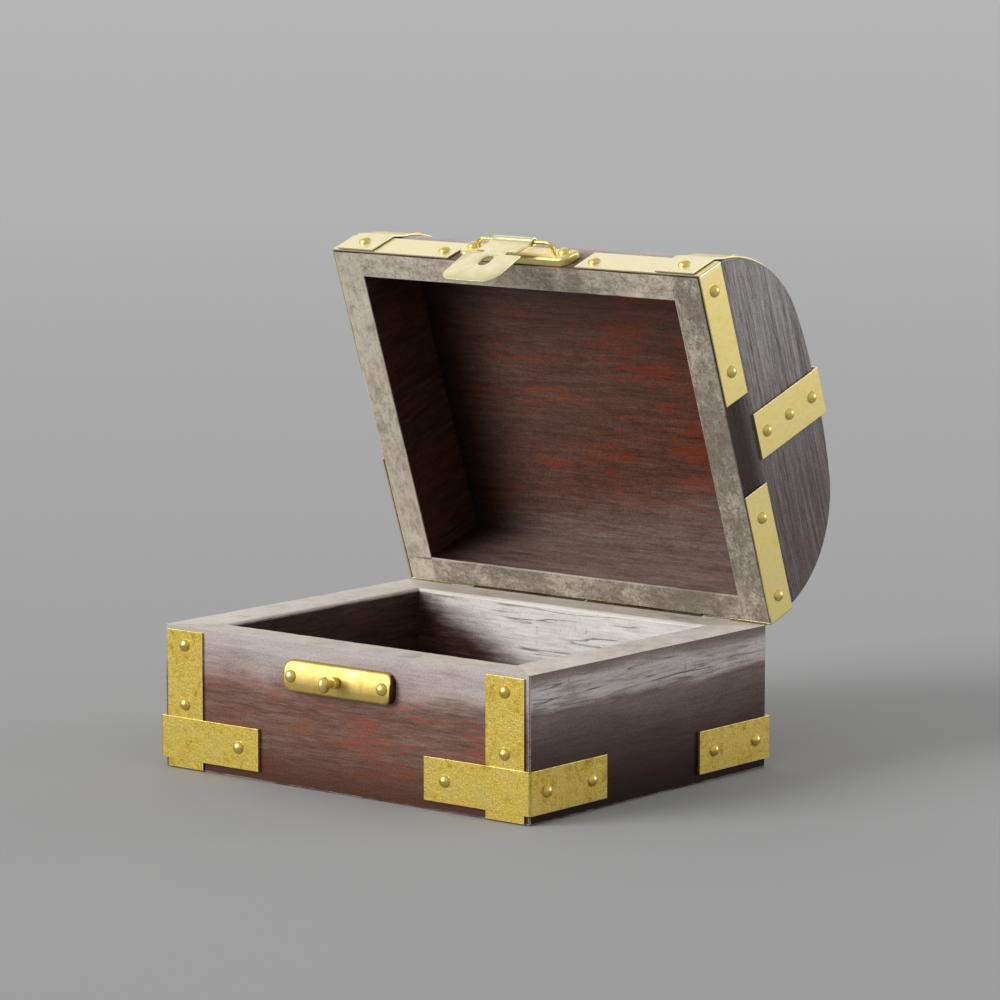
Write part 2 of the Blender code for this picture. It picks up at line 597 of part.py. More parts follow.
def hinge_leaf(centre_x, knuckles, far_z, sign):
    """Flat leaf on the back face with its knuckles rolled round the hinge axis.

    The sign is -1 for the leaf below the axis and 1 for the leaf above it.
    """
    back = CHEST_DEPTH / 2
    near = back + SEAT_GAP
    far = near + HINGE_LEAF_THICKNESS
    radius = HINGE_AXIS_OUT - SEAT_GAP
    edge_z = HINGE_AXIS.z + sign * (radius + KNUCKLE_GAP)
    half = HINGE_WIDTH / 2
    low_z, high_z = sorted((edge_z, far_z))
    leaf = make_block((centre_x - half, near, low_z), (centre_x + half, far, high_z))
    join = math.asin((HINGE_AXIS.y - far) / radius)
    arc = arc_points((HINGE_AXIS.y, 0.0), radius, -math.pi / 2 - join, math.pi, KNUCKLE_SIDES)
    overlap_z = -(radius + KNUCKLE_GAP + HINGE_LEAF_THICKNESS)
    roll = [(near, overlap_z), (far, overlap_z)] + arc
    parts = []
    for start, end in knuckles:
        outline = [(depth, HINGE_AXIS.z - sign * height) for depth, height in roll]
        parts.append(extrude_outline(outline, Y_AXIS, Z_AXIS, X_AXIS, centre_x + start, centre_x + end))
    return leaf, parts


def build_hinges(pivot, boards, wood):
    half = HINGE_WIDTH / 2
    middle = HINGE_MIDDLE_KNUCKLE / 2
    base_knuckles = [(-half, -middle - KNUCKLE_GAP), (middle + KNUCKLE_GAP, half)]
    lid_knuckles = [(-middle, middle)]
    face_y = CHEST_DEPTH / 2 + SEAT_GAP + HINGE_LEAF_THICKNESS
    base_z = HINGE_AXIS.z - HINGE_BASE_LEAF_HEIGHT
    lid_z = RIM_Z + HINGE_LID_LEAF_HEIGHT
    base_row = (base_z + HINGE_AXIS.z) / 2
    lid_row = (RIM_Z + lid_z) / 2
    leaves = {"base": [], "lid": []}
    seats = {"base": [], "lid": []}
    for hand, side in (("left", -1), ("right", 1)):
        centre = side * HINGE_CENTRE_X
        bore_start = Vector((centre - half - CUT_MARGIN, HINGE_AXIS.y, HINGE_AXIS.z))
        bore_end = Vector((centre + half + CUT_MARGIN, HINGE_AXIS.y, HINGE_AXIS.z))
        for part, knuckles, far_z, sign, hang in (("base", base_knuckles, base_z, -1, None),
                                                  ("lid", lid_knuckles, lid_z, 1, pivot)):
            solid, rolls = hinge_leaf(centre, knuckles, far_z, sign)
            leaf = add_object(f"hinge_{hand}_{part}_leaf", solid, BRASS, hang, HINGE_AXIS)
            for number, roll in enumerate(rolls):
                helper = add_object(f"hinge_{hand}_{part}_roll_{number}", roll, BRASS, hang, HINGE_AXIS)
                cut(leaf, hide_cutter(helper), "UNION")
            bore = rod_between(PIN_RADIUS + PIN_CLEARANCE, KNUCKLE_SIDES, bore_start, bore_end)
            cutter = add_object(f"hinge_{hand}_{part}_bore", bore, BRASS, hang, HINGE_AXIS)
            cut(leaf, hide_cutter(cutter))
            leaves[part].append(leaf)
        pin_start = bore_start + X_AXIS * (CUT_MARGIN - PIN_OVERHANG)
        pin_end = bore_end - X_AXIS * (CUT_MARGIN - PIN_OVERHANG)
        pin = rod_between(PIN_RADIUS, KNUCKLE_SIDES, pin_start, pin_end)
        shade_round(add_object(f"hinge_{hand}_pin", pin, STEEL))
        for part, row, hang in (("base", base_row, None), ("lid", lid_row, pivot)):
            for end, offset in (("inner", -side * SCREW_SPACING / 2), ("outer", side * SCREW_SPACING / 2)):
                seat = Vector((centre + offset, face_y, row))
                name = f"hinge_{hand}_{part}_{end}_screw"
                add_fastener(name, screw_profile(), seat, Y_AXIS, hang, HINGE_AXIS)
                seats[part].append((seat, Y_AXIS))
    for part, receiver, hang in (("base", boards["back"], None), ("lid", wood["back"], pivot)):
        drill(f"hinge_{part}_holes", seats[part], SCREW_SHANK_RADIUS, SCREW_SHANK_LENGTH,
              leaves[part] + [receiver], hang, HINGE_AXIS)


# Hasp and catch

def clasp_plate(centre_z):
    """Bar with round corners and softly rounded front edges, seated on the front face."""
    half = CLASP_LENGTH / 2 - CLASP_CORNER_RADIUS
    rise = CLASP_HEIGHT / 2 - CLASP_CORNER_RADIUS
    outline = []
    for quarter, (u, v) in enumerate(((half, rise), (-half, rise), (-half, -rise), (half, -rise))):
        start = quarter * math.pi / 2
        centre = (u, centre_z + v)
        outline += arc_points(centre, CLASP_CORNER_RADIUS, start, start + math.pi / 2, BEND_STEPS)
    plate = extrude_outline(outline, X_AXIS, Z_AXIS, Y_AXIS, FRONT_Y - SEAT_GAP, FRONT_Y - CLASP_FACE)
    front = [edge for edge in plate.edges
             if all(vert.co.y < FRONT_Y - CLASP_FACE + SEAT_GAP for vert in edge.verts)]
    bmesh.ops.bevel(plate, geom=front, offset=CLASP_EDGE_ROUND, segments=BEND_STEPS, profile=0.5,
                    affect="EDGES")
    return plate


def clasp_seats(centre_z):
    half = CLASP_LENGTH / 2 - CLASP_RIVET_INSET
    return [(Vector((x, FRONT_Y - CLASP_FACE, centre_z)), -Y_AXIS) for x in (-half, half)]


def build_catch(boards):
    """Plate on the base with an oval knob that turns in it.

    The knob's neck has a round collar in front of the plate and a flange behind it.
    """
    plate = add_object("catch_plate", clasp_plate(CATCH_HEIGHT), BRASS)
    shade_round(plate)
    seats = clasp_seats(CATCH_HEIGHT)
    for hand, (seat, direction) in zip(("left", "right"), seats):
        add_fastener(f"catch_plate_{hand}_rivet", rivet_profile(), seat, direction)
    drill("catch_plate_holes", seats, RIVET_SHANK_RADIUS, RIVET_SHANK_LENGTH, [plate, boards["front"]])
    flange_top = -SEAT_GAP
    flange_bottom = flange_top - KNOB_FLANGE_THICKNESS
    collar_bottom = CLASP_FACE + SEAT_GAP
    collar_round = KNOB_COLLAR_RADIUS - KNOB_NECK_RADIUS
    collar_arc = (KNOB_NECK_RADIUS, collar_bottom + KNOB_COLLAR_HEIGHT - collar_round)
    profile = [(0.0, KNOB_CENTRE_OUT), (KNOB_NECK_RADIUS, KNOB_CENTRE_OUT)]
    profile += arc_points(collar_arc, collar_round, math.pi / 2, 0.0, BEND_STEPS)
    profile += [(KNOB_COLLAR_RADIUS, collar_bottom), (KNOB_NECK_RADIUS, collar_bottom),
                (KNOB_NECK_RADIUS, flange_top), (KNOB_FLANGE_RADIUS, flange_top),
                (KNOB_FLANGE_RADIUS, flange_bottom), (0.0, flange_bottom)]
    neck = turn_profile(profile, KNOB_SIDES)
    place = Vector((0.0, FRONT_Y, CATCH_HEIGHT))
    stand = place_along(Vector((0.0, 0.0, 0.0)), -Y_AXIS)
    neck.transform(stand)
    knob = add_object("catch_knob", neck, BRASS)
    knob.location = place
    shade_round(knob)
    head = bmesh.new()
    bmesh.ops.create_uvsphere(head, u_segments=KNOB_SIDES, v_segments=KNOB_SIDES // 2, radius=0.5)
    head.transform(Matrix.Diagonal((KNOB_WIDTH, KNOB_DEPTH, KNOB_LENGTH, 1.0)))
    head_item = hide_cutter(add_object("catch_knob_head", head, BRASS))
    head_item.location = place - Y_AXIS * KNOB_CENTRE_OUT
    cut(knob, head_item, "UNION")
    bore_end = place - Y_AXIS * KNOB_CENTRE_OUT
    bore = rod_between(KNOB_NECK_RADIUS + KNOB_CLEARANCE, KNOB_SIDES, place, bore_end)
    cut(plate, hide_cutter(add_object("catch_knob_bore", bore, BRASS)))
    pocket_floor = place - Y_AXIS * (flange_bottom - KNOB_CLEARANCE)
    pocket = rod_between(KNOB_FLANGE_RADIUS + KNOB_CLEARANCE, KNOB_SIDES, pocket_floor,
                         place - Y_AXIS * CUT_MARGIN)
    cut(boards["front"], hide_cutter(add_object("catch_knob_pocket", pocket, BRASS)))


def flap_section():
    """Side view of the hasp flap as (distance out from the lid front, height above the rim).

    The sheet rolls round the wire, leaves it in an S bend, runs down flat as a neck and then
    tilts in as the tongue.
    """
    half = FLAP_SHEET / 2
    middle = WIRE_RADIUS + ROLL_CLEARANCE + half
    wire = (WIRE_AXIS_OUT, WIRE_AXIS_ABOVE_RIM)
    out = math.cos(ROLL_LEAVE_TURN)
    down = math.sin(ROLL_LEAVE_TURN)
    bend_radius = (WIRE_AXIS_OUT + middle * out - NECK_PLANE_OUT) / (1.0 - out)
    bend_centre = (wire[0] + (middle + bend_radius) * out, wire[1] - (middle + bend_radius) * down)
    bend = (NECK_PLANE_OUT, -NECK_BEND_BELOW_RIM)
    tongue = (TONGUE_TIP_BELOW_RIM - NECK_BEND_BELOW_RIM) / math.cos(TONGUE_TILT)
    tip = (bend[0] - tongue * math.sin(TONGUE_TILT), -TONGUE_TIP_BELOW_RIM)

    def face(side):
        roll = arc_points(wire, middle + side * half, -ROLL_START_TURN, -ROLL_LEAVE_TURN, ROLL_STEPS)
        curve = arc_points(bend_centre, bend_radius - side * half, math.pi - ROLL_LEAVE_TURN, math.pi,
                           BEND_STEPS)
        fold = (bend[0] + side * half, bend[1] - side * half * math.tan(TONGUE_TILT / 2))
        end = (tip[0] + side * half * math.cos(TONGUE_TILT), tip[1] - side * half * math.sin(TONGUE_TILT))
        return roll + curve[1:] + [fold, end]

    return face(1) + face(-1)[::-1]


def flap_cutters():
    """Everything cut from the folded sheet: side notches, round tongue corners and the slot."""
    reach = TONGUE_WIDTH / 2 + CUT_MARGIN
    top = RIM_Z + WIRE_AXIS_ABOVE_RIM + WIRE_AXIS_OUT
    notch_top = RIM_Z - NOTCH_TOP_BELOW_RIM
    notch_bottom = RIM_Z - NOTCH_BOTTOM_BELOW_RIM
    tip = RIM_Z - TONGUE_TIP_BELOW_RIM - FLAP_SHEET
    corner_x = TONGUE_WIDTH / 2 - TONGUE_CORNER_RADIUS
    corner_z = RIM_Z - TONGUE_TIP_BELOW_RIM + TONGUE_CORNER_RADIUS
    notch = [(reach, notch_bottom), (FLAP_NECK_WIDTH / 2, notch_bottom), (FLAP_NECK_WIDTH / 2, notch_top),
             (FLAP_STRAP_WIDTH / 2, notch_top), (FLAP_STRAP_WIDTH / 2, top), (reach, top)]
    corner = arc_points((corner_x, corner_z), TONGUE_CORNER_RADIUS, -math.pi / 2, 0.0, 2 * BEND_STEPS)
    corner += [(reach, corner_z), (reach, tip - CUT_MARGIN), (corner_x, tip - CUT_MARGIN)]
    slot_radius = KNOB_WIDTH / 2 + SLOT_CLEARANCE
    slot_reach = KNOB_LENGTH / 2 + SLOT_CLEARANCE - slot_radius
    slot = arc_points((0.0, CATCH_HEIGHT + slot_reach), slot_radius, 0.0, math.pi, 2 * BEND_STEPS)
    slot += arc_points((0.0, CATCH_HEIGHT - slot_reach), slot_radius, math.pi, math.tau, 2 * BEND_STEPS)
    cutters = bmesh.new()
    near = FRONT_Y
    far = FRONT_Y - WIRE_AXIS_OUT - TONGUE_WIDTH
    for outline, sides in ((notch, (-1, 1)), (corner, (-1, 1)), (slot, (1,))):
        for side in sides:
            solid = extrude_outline(outline, side * X_AXIS, Z_AXIS, Y_AXIS, near, far)
            merge_into(cutters, solid, Matrix.Identity(4))
            solid.free()
    return cutters


def build_hasp(pivot, wood):
    """Plate on the lid front, a wire bail standing on it and a slotted flap rolled round the wire."""
    plate_z = RIM_Z + HASP_HEIGHT_ABOVE_RIM
    plate = add_object("hasp_plate", clasp_plate(plate_z), BRASS, pivot, HINGE_AXIS)
    shade_round(plate)
    seats = clasp_seats(plate_z)
    for hand, (seat, direction) in zip(("left", "right"), seats):
        add_fastener(f"hasp_plate_{hand}_rivet", rivet_profile(), seat, direction, pivot, HINGE_AXIS)
    drill("hasp_plate_holes", seats, RIVET_SHANK_RADIUS, RIVET_SHANK_LENGTH, [plate, wood["front"]],
          pivot, HINGE_AXIS)
    half = BAIL_WIDTH / 2
    foot_y = FRONT_Y - CLASP_FACE + BAIL_FOOT_DEPTH
    bend_x = half - WIRE_BEND_RADIUS
    bend_y = WIRE_AXIS.y + WIRE_BEND_RADIUS
    bend = arc_points((bend_x, bend_y), WIRE_BEND_RADIUS, 0.0, -math.pi / 2, 2 * BEND_STEPS)
    right = [(half, foot_y)] + bend
    route = right + [(-x, y) for x, y in reversed(right)]
    curve = bpy.data.curves.new("hasp_bail", "CURVE")
    curve.dimensions = "3D"
    curve.bevel_depth = WIRE_RADIUS
    curve.bevel_resolution = 2
    curve.use_fill_caps = True
    wire = curve.splines.new("POLY")
    wire.points.add(len(route) - 1)
    for point, (x, y) in zip(wire.points, route):
        point.co = (x, y, WIRE_AXIS.z, 1.0)
    bail = bpy.data.objects.new("hasp_bail", curve)
    bpy.context.scene.collection.objects.link(bail)
    curve.materials.append(make_material("hasp_bail_finish", BRASS))
    bail.parent = pivot
    bail.location = -HINGE_AXIS
    feet = bmesh.new()
    for side in (-1, 1):
        floor = Vector((side * half, foot_y + BAIL_HOLE_CLEARANCE, WIRE_AXIS.z))
        mouth = Vector((side * half, FRONT_Y - CLASP_FACE - CUT_MARGIN, WIRE_AXIS.z))
        hole = rod_between(WIRE_RADIUS + BAIL_HOLE_CLEARANCE, KNOB_SIDES, floor, mouth)
        merge_into(feet, hole, Matrix.Identity(4))
        hole.free()
    cut(plate, hide_cutter(add_object("hasp_bail_holes", feet, BRASS, pivot, HINGE_AXIS)))
    flap_pivot = add_pivot("hasp_pivot", WIRE_AXIS - HINGE_AXIS, pivot)
    outline = [(FRONT_Y - out, RIM_Z + height) for out, height in flap_section()]
    sheet = extrude_outline(outline, Y_AXIS, Z_AXIS, X_AXIS, -TONGUE_WIDTH / 2, TONGUE_WIDTH / 2)
    flap = add_object("hasp_flap", sheet, BRASS, flap_pivot, WIRE_AXIS)
    cut(flap, hide_cutter(add_object("hasp_flap_cutter", flap_cutters(), BRASS, flap_pivot, WIRE_AXIS)))
    shade_round(flap)


clear_scene()
base_boards = build_base_boards()
build_base_straps(base_boards)
build_base_brackets(base_boards)
build_catch(base_boards)
lid_pivot = add_pivot("lid_pivot", HINGE_AXIS)
lid_wood = build_lid_wood(lid_pivot)
lid_brackets = build_lid_brackets(lid_pivot, lid_wood)
build_lid_straps(lid_pivot, lid_wood, lid_brackets)
build_hinges(lid_pivot, base_boards, lid_wood)
build_hasp(lid_pivot, lid_wood)
lid_pivot.rotation_euler = (-LID_OPEN_ANGLE, 0.0, 0.0)
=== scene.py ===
import math

import bmesh
import bpy
from bmesh.types import BMEdge, BMVert
from mathutils import Matrix, Vector, noise


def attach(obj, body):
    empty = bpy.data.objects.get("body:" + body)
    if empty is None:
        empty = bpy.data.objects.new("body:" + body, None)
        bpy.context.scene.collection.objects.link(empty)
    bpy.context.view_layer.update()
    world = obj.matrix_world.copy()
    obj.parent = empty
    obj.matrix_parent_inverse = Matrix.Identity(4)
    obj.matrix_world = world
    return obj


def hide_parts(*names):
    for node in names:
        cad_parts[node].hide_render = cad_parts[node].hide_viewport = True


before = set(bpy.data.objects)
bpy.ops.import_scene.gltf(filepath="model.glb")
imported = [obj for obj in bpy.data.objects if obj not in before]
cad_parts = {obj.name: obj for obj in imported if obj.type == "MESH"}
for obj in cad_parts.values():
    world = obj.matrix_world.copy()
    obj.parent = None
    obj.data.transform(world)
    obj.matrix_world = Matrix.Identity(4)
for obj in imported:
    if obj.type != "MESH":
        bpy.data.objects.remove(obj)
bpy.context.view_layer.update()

# Base boards: four boards of stained hardwood set on edge, mitred and glued at the corners.
# They are dark and satin outside and paler and greyer towards the top, and all are painted darker
# towards the foot as shade. On the end boards the grey rising up the board is painted sheen and
# painted light below a real band of cracked film, and inside the box the pale lining is painted dark
# low down and on the left as painted shade and painted shadow. The bare rim has weathered pale.
# Handling has rubbed the edges round and nicked them.
MM = 0.001
CHEST_WIDTH = 160.0 * MM
CHEST_DEPTH = 128.0 * MM
BASE_HEIGHT = 49.2 * MM
BASE_SIDE_THICKNESS = 16.6 * MM
BASE_FRONT_THICKNESS = 13.7 * MM
HALF_WIDTH = CHEST_WIDTH / 2
HALF_DEPTH = CHEST_DEPTH / 2
INNER_X = HALF_WIDTH - BASE_SIDE_THICKNESS
INNER_Y = HALF_DEPTH - BASE_FRONT_THICKNESS
BOARD_ROUND = 0.6 * MM
RIM_ROUND = 1.3 * MM
HINGE_EDGE_ROUND = 0.12 * MM
NICK_SPACING = 2.5 * MM
NICK_DEPTH = 0.16 * MM
SHARP_ANGLE = math.radians(40.0)
WOOD_RELIEF = 0.20 * MM
NEAR = 0.1 * MM
MERGE = 0.001 * MM
FACING = 0.55
QUARTER_TURN = math.pi / 2
X_AXIS = Vector((1.0, 0.0, 0.0))
Y_AXIS = Vector((0.0, 1.0, 0.0))
Z_AXIS = Vector((0.0, 0.0, 1.0))
HANDS = (("left", -1), ("right", 1))
SIDES = (("front", -1), ("back", 1))


def tone(code):
    """Linear colour from a six-figure colour code."""
    parts = [int(code[at:at + 2], 16) / 255.0 for at in (1, 3, 5)]
    return tuple(p / 12.92 if p <= 0.04045 else ((p + 0.055) / 1.055) ** 2.4 for p in parts) + (1.0,)


def ramp(*codes, at=(0.34, 0.50, 0.66)):
    """Colours with their places along a value."""
    return list(zip(at, codes))


class Level:
    """Value in a finish that can be added and multiplied as a number can."""

    def __init__(self, finish, socket):
        self.finish = finish
        self.socket = socket

    def __add__(self, other):
        return self.finish.calc("ADD", self, other)

    def __sub__(self, other):
        return self.finish.calc("SUBTRACT", self, other)

    def __mul__(self, other):
        return self.finish.calc("MULTIPLY", self, other)

    __rmul__ = __mul__

    def __abs__(self):
        return self.finish.calc("ABSOLUTE", self)


class Finish:
    """Material in the making. The place of a lid piece is where it lies when the lid is shut."""

    def __init__(self, name, closed=None):
        self.material = bpy.data.materials.new(name)
        self.material.use_nodes = True
        self.tree = self.material.node_tree
        self.place = self.node("ShaderNodeTexCoord", {}).outputs["Object"]
        if closed is not None:
            self.place = self.mapped(Location=closed[0], Rotation=closed[1])

    def join(self, value, socket):
        """Link a value to a socket, or set it there."""
        if isinstance(value, Level):
            value = value.socket
        if isinstance(value, bpy.types.NodeSocket):
            self.tree.links.new(value, socket)
        else:
            socket.default_value = value

    def node(self, kind, sockets, **settings):
        """One node with its settings and its sockets."""
        node = self.tree.nodes.new(kind)
        for key, value in settings.items():
            setattr(node, key, value)
        for key, value in sockets.items():
            self.join(value, node.inputs[key])
        return node

    def mapped(self, **sockets):
        """The place moved, turned or stretched."""
        return self.node("ShaderNodeMapping", {"Vector": self.place, **sockets}).outputs[0]

    def axis(self, letter, place=None):
        """Place along one axis."""
        vector = self.place if place is None else place
        return Level(self, self.node("ShaderNodeSeparateXYZ", {"Vector": vector}).outputs[letter])

    def mottle(self, scale, detail, roughness, distortion=0.0, place=None):
        """Noise in cycles to the metre."""
        sockets = {"Vector": self.place if place is None else place, "Scale": scale, "Detail": detail,
                   "Roughness": roughness, "Distortion": distortion}
        return Level(self, self.node("ShaderNodeTexNoise", sockets).outputs["Fac"])

    def grain(self, way, along, across, *noise_kind):
        """Noise drawn out along the grain, in cycles to the metre along it and across it."""
        scale = [along if letter == way else across for letter in "XYZ"]
        return self.mottle(1.0, *noise_kind, place=self.mapped(Scale=scale))

    def calc(self, operation, first, second=0.0):
        return Level(self, self.node("ShaderNodeMath", {0: first, 1: second}, operation=operation).outputs[0])

    def fade(self, value, low, high, start=0.0, end=1.0):
        """Soft step between two values."""
        sockets = {"Value": value, "From Min": low, "From Max": high, "To Min": start, "To Max": end}
        node = self.node("ShaderNodeMapRange", sockets, interpolation_type="SMOOTHSTEP")
        return Level(self, node.outputs[0])

    def shades(self, value, stops):
        """Colours spread along a value."""
        node = self.node("ShaderNodeValToRGB", {"Fac": value})
        elements = node.color_ramp.elements
        elements[0].position, elements[0].color = stops[0][0], tone(stops[0][1])
        elements[1].position, elements[1].color = stops[-1][0], tone(stops[-1][1])
        for position, code in stops[1:-1]:
            elements.new(position).color = tone(code)
        return node.outputs["Color"]

    def over(self, amount, under, top, way="MIX"):
        """One colour laid over another."""
        node = self.node("ShaderNodeMix", {"Factor": amount}, data_type="RGBA", blend_type=way)
        colours = [socket for socket in node.inputs if socket.type == "RGBA"]
        for socket, value in zip(colours, (under, top)):
            self.join(tone(value) if isinstance(value, str) else value, socket)
        return next(socket for socket in node.outputs if socket.type == "RGBA")

    def worn(self):
        """How far the faces of an edge are marked as rubbed."""
        return Level(self, self.node("ShaderNodeAttribute", {}, attribute_name="worn").outputs["Fac"])

    def bump(self, relief, strength, depth):
        sockets = {"Height": relief, "Strength": strength, "Distance": depth}
        return self.node("ShaderNodeBump", sockets).outputs["Normal"]

    def done(self, colour, rough, **sockets):
        """Feed the shader's sockets, named with underscores for spaces, and hand over the material."""
        shader = self.tree.nodes["Principled BSDF"]
        for key, value in {"Base_Color": colour, "Roughness": rough, **sockets}.items():
            self.join(value, shader.inputs[key.replace("_", " ")])
        return self.material


def fissures(make, way):
    """Long thin splits that wander along the grain and break off, with a few short nicks across it."""
    run = make.grain(way, 14.0, 340.0, 2.0, 0.5, 0.4)
    breaks = make.grain(way, 42.0, 300.0, 2.0, 0.5)
    nick = make.grain(way, 900.0, 260.0, 2.0, 0.5, 0.3)
    split = make.fade(abs(run - 0.5), 0.006, 0.032, 1.0, 0.0) * make.fade(breaks, 0.42, 0.56)
    return make.calc("MAXIMUM", split, make.fade(nick, 0.34, 0.28, 0.0, 0.5))


def stained_wood(name, way, body, stain, film, foot, split, worn, closed=None, band=None,
                 streaks=(60.0, 820.0), gloss=(0.42, 0.58), slant=0.0, shade=None, lean=0.0):
    """Stained board: grain streaks, red chips, a pale grey layer towards one edge and a foot painted darker
    as shade.

    The stain is a colour, how far it spreads, how fine its chips are and its strength. The film is a
    pale grey layer: its dark and light colours, the axis and the two places between which it comes in,
    and its strength; a note at each board's finish says what it stands for there. The foot is painted
    shade: a colour and the heights between which it goes out, and the specular level drops over the
    same heights. A band is a pale strip of split film: its colours, its low edge and its high edge.
    The slant tilts the film's edge across the chest, and a shade is a painted shadow: its colour, the
    two places across the chest between which it goes out, and its strength. The lean is how much more
    the chips show towards the right.
    """
    make = Finish(name, closed)
    across, up = make.axis("X"), make.axis("Z")
    code, spread, fineness, strength = stain
    streak = make.grain(way, *streaks, 6.0, 0.66, 0.5)
    fibre = make.grain(way, 180.0, 1700.0, 3.0, 0.6, 0.2)
    patch = make.grain(way, 24.0, 95.0, 4.0, 0.6, 0.3)
    chip = make.grain(way, 95.0 * fineness, 720.0 * fineness, 5.0, 0.65, 0.2)
    cloud = make.mottle(26.0, 3.0, 0.5)
    speck = make.mottle(1500.0, 2.0, 0.5)
    figure = 0.35 * fibre + 0.65 * streak
    broken = 0.55 * chip + 0.60 * patch + lean * across
    red = strength * make.fade(broken, 0.60 - spread, 0.665 - spread)
    colour = make.over(red, make.shades(figure, body), code)
    # The pale grey layer; what it stands for differs from board to board and is noted where each finish is
    # made.
    dark, light, axis, low, high, strength = film
    ragged = make.axis(axis) + 5.0 * MM * (streak - 0.5) + slant * across + 22.0 * MM * (patch - 0.5)
    grey = strength * make.fade(ragged, low, high)
    colour = make.over(grey, colour, make.shades(figure, [(0.34, dark), (0.64, light)]))
    # Painted shade: darker towards the foot, and the specular level drops over the same heights.
    code, low, high = foot
    colour = make.over(make.fade(up, low, high, 0.9, 0.0), colour, code)
    sheen = make.fade(up, low, high, 0.08, 0.27)
    # Painted shadow: darker across the chest towards one side.
    if shade is not None:
        code, low, high, strength = shade
        colour = make.over(make.fade(across, low, high, strength, 0.0), colour, code)
    marks = fissures(make, way)
    depth = marks * grey * make.fade(patch, 0.40, 0.60, 0.3 * split, split)
    if band is not None:
        dark, light, low, high = band
        level = up + 6.0 * MM * (patch - 0.5) + 2.0 * MM * (streak - 0.5)
        strip = make.fade(level, low, low + 3.4 * MM) * make.fade(level, high, high - 5.0 * MM)
        strip = strip * make.fade(streak + cloud, 0.78, 1.04, 0.45, 1.0)
        colour = make.over(strip, colour, make.shades(figure, [(0.34, dark), (0.64, light)]))
        ledge = make.fade(abs(level - low), 0.0, 0.5 * MM, 0.4, 0.0) * make.fade(chip, 0.40, 0.58)
        depth = make.calc("MAXIMUM", make.calc("MAXIMUM", depth, marks * strip), ledge)
    colour = make.over(0.75 * depth, colour, "#3c322d")
    rubbed = make.worn() * make.fade(cloud + fibre, 0.80, 1.15, 0.1, 0.8)
    colour = make.over(rubbed, colour, worn)
    colour = make.over(make.fade(speck, 0.30, 0.75, 0.0, 0.6), colour, "#7a6e6a", "SOFT_LIGHT")
    rough = make.fade(streak + speck, 0.7, 1.3, *gloss) + 0.12 * (grey + depth)
    relief = 0.45 * fibre + 0.5 * streak + 0.15 * speck - 0.9 * depth
    return make.done(colour, rough, Normal=make.bump(relief, 0.5, WOOD_RELIEF), Specular_IOR_Level=sheen,
                     Coat_Weight=0.05, Coat_Roughness=0.35)


def bare_wood(name, way, body, grime, grit, worn, closed=None):
    """Bare wood, weathered pale; grime is how far dark stains cover it, and grit how grainy it is."""
    make = Finish(name, closed)
    blotch = make.mottle(90.0, 6.0, 0.66, 0.3)
    smear = make.grain(way, 200.0, 520.0, 5.0, 0.7, 0.3)
    fibre = make.grain(way, 160.0, 1500.0, 3.0, 0.6)
    cloud = make.mottle(30.0, 3.0, 0.5)
    speck = make.mottle(1100.0, 3.0, 0.6)
    mixed = 0.55 * blotch + 0.45 * smear
    dirt = 0.5 * smear + 0.5 * blotch + 0.5 * cloud + 0.12 * speck
    edge = 0.68 + 0.20 * grime
    stained = make.fade(dirt, edge + 0.17, edge - 0.17, 0.0, 0.75)
    colour = make.over(stained, make.shades(mixed, body), "#696052")
    colour = make.over(make.fade(fibre, 0.30, 0.70, 0.0, 0.55), colour, "#9c9389", "SOFT_LIGHT")
    colour = make.over(make.fade(speck, 0.52, 0.36, 0.0, grit), colour, "#5d5547")
    rubbed = make.worn() * make.fade(cloud + fibre, 0.80, 1.20, 0.0, 0.8)
    colour = make.over(rubbed, colour, worn)
    relief = 0.35 * fibre + 0.8 * mixed + 0.35 * speck
    rough = make.fade(mixed, 0.35, 0.65, 0.62, 0.80)
    return make.done(colour, rough, Normal=make.bump(relief, 0.5, WOOD_RELIEF))


def only(parts, kind):
    return [part for part in parts if isinstance(part, kind)]


def block(middle, size):
    """Plain rectangular block."""
    bm = bmesh.new()
    bmesh.ops.create_cube(bm, size=1.0, matrix=Matrix.Translation(middle) @ Matrix.Diagonal((*size, 1.0)))
    return bm


def push_face(bm, face, way):
    """Push a face out along a straight way into a closed solid."""
    pushed = bmesh.ops.extrude_face_region(bm, geom=[face])["geom"]
    bmesh.ops.translate(bm, verts=only(pushed, BMVert), vec=way)
    bmesh.ops.recalc_face_normals(bm, faces=bm.faces)


def slice_across(bm, place, way):
    """Cut new edges where a plane crosses the shape."""
    bmesh.ops.bisect_plane(bm, geom=bm.verts[:] + bm.edges[:] + bm.faces[:], dist=MERGE,
                           plane_co=place, plane_no=way)


def runs_along(edge, way):
    return abs((edge.verts[1].co - edge.verts[0].co).normalized().dot(way)) > 0.999


def soften(bm, edges, radius, segments):
    """Round off edges, and mark the new faces as worn."""
    worn = bm.faces.layers.float.get("worn") or bm.faces.layers.float.new("worn")
    made = bmesh.ops.bevel(bm, geom=edges, offset=radius, offset_type="OFFSET", segments=segments,
                           profile=0.5, affect="EDGES", material=-1, clamp_overlap=True)
    for face in made["faces"]:
        face[worn] = 1.0


def nick_edges(bm, way, reach, spare):
    """Cut a board across into short lengths and rub its rounded edges in unevenly."""
    worn = bm.faces.layers.float["worn"]
    for step in range(1, int(2.0 * reach / NICK_SPACING)):
        slice_across(bm, way * (step * NICK_SPACING - reach), way)
    bm.normal_update()
    for vert in bm.verts:
        on_edge = any(face[worn] > 0.5 for face in vert.link_faces)
        if on_edge and not any(spare(face.normal) for face in vert.link_faces):
            rub = noise.noise(vert.co * 150.0) + 0.4 * noise.noise(vert.co * 520.0)
            vert.co -= vert.normal * NICK_DEPTH * max(0.0, rub)


def mark_faces(bm, rim, inward):
    """Give the faces of the rim and of the inside their own finishes."""
    for face in bm.faces:
        if face.normal.dot(rim) > FACING:
            face.material_index = 1
        elif face.normal.dot(inward) > FACING:
            face.material_index = 2


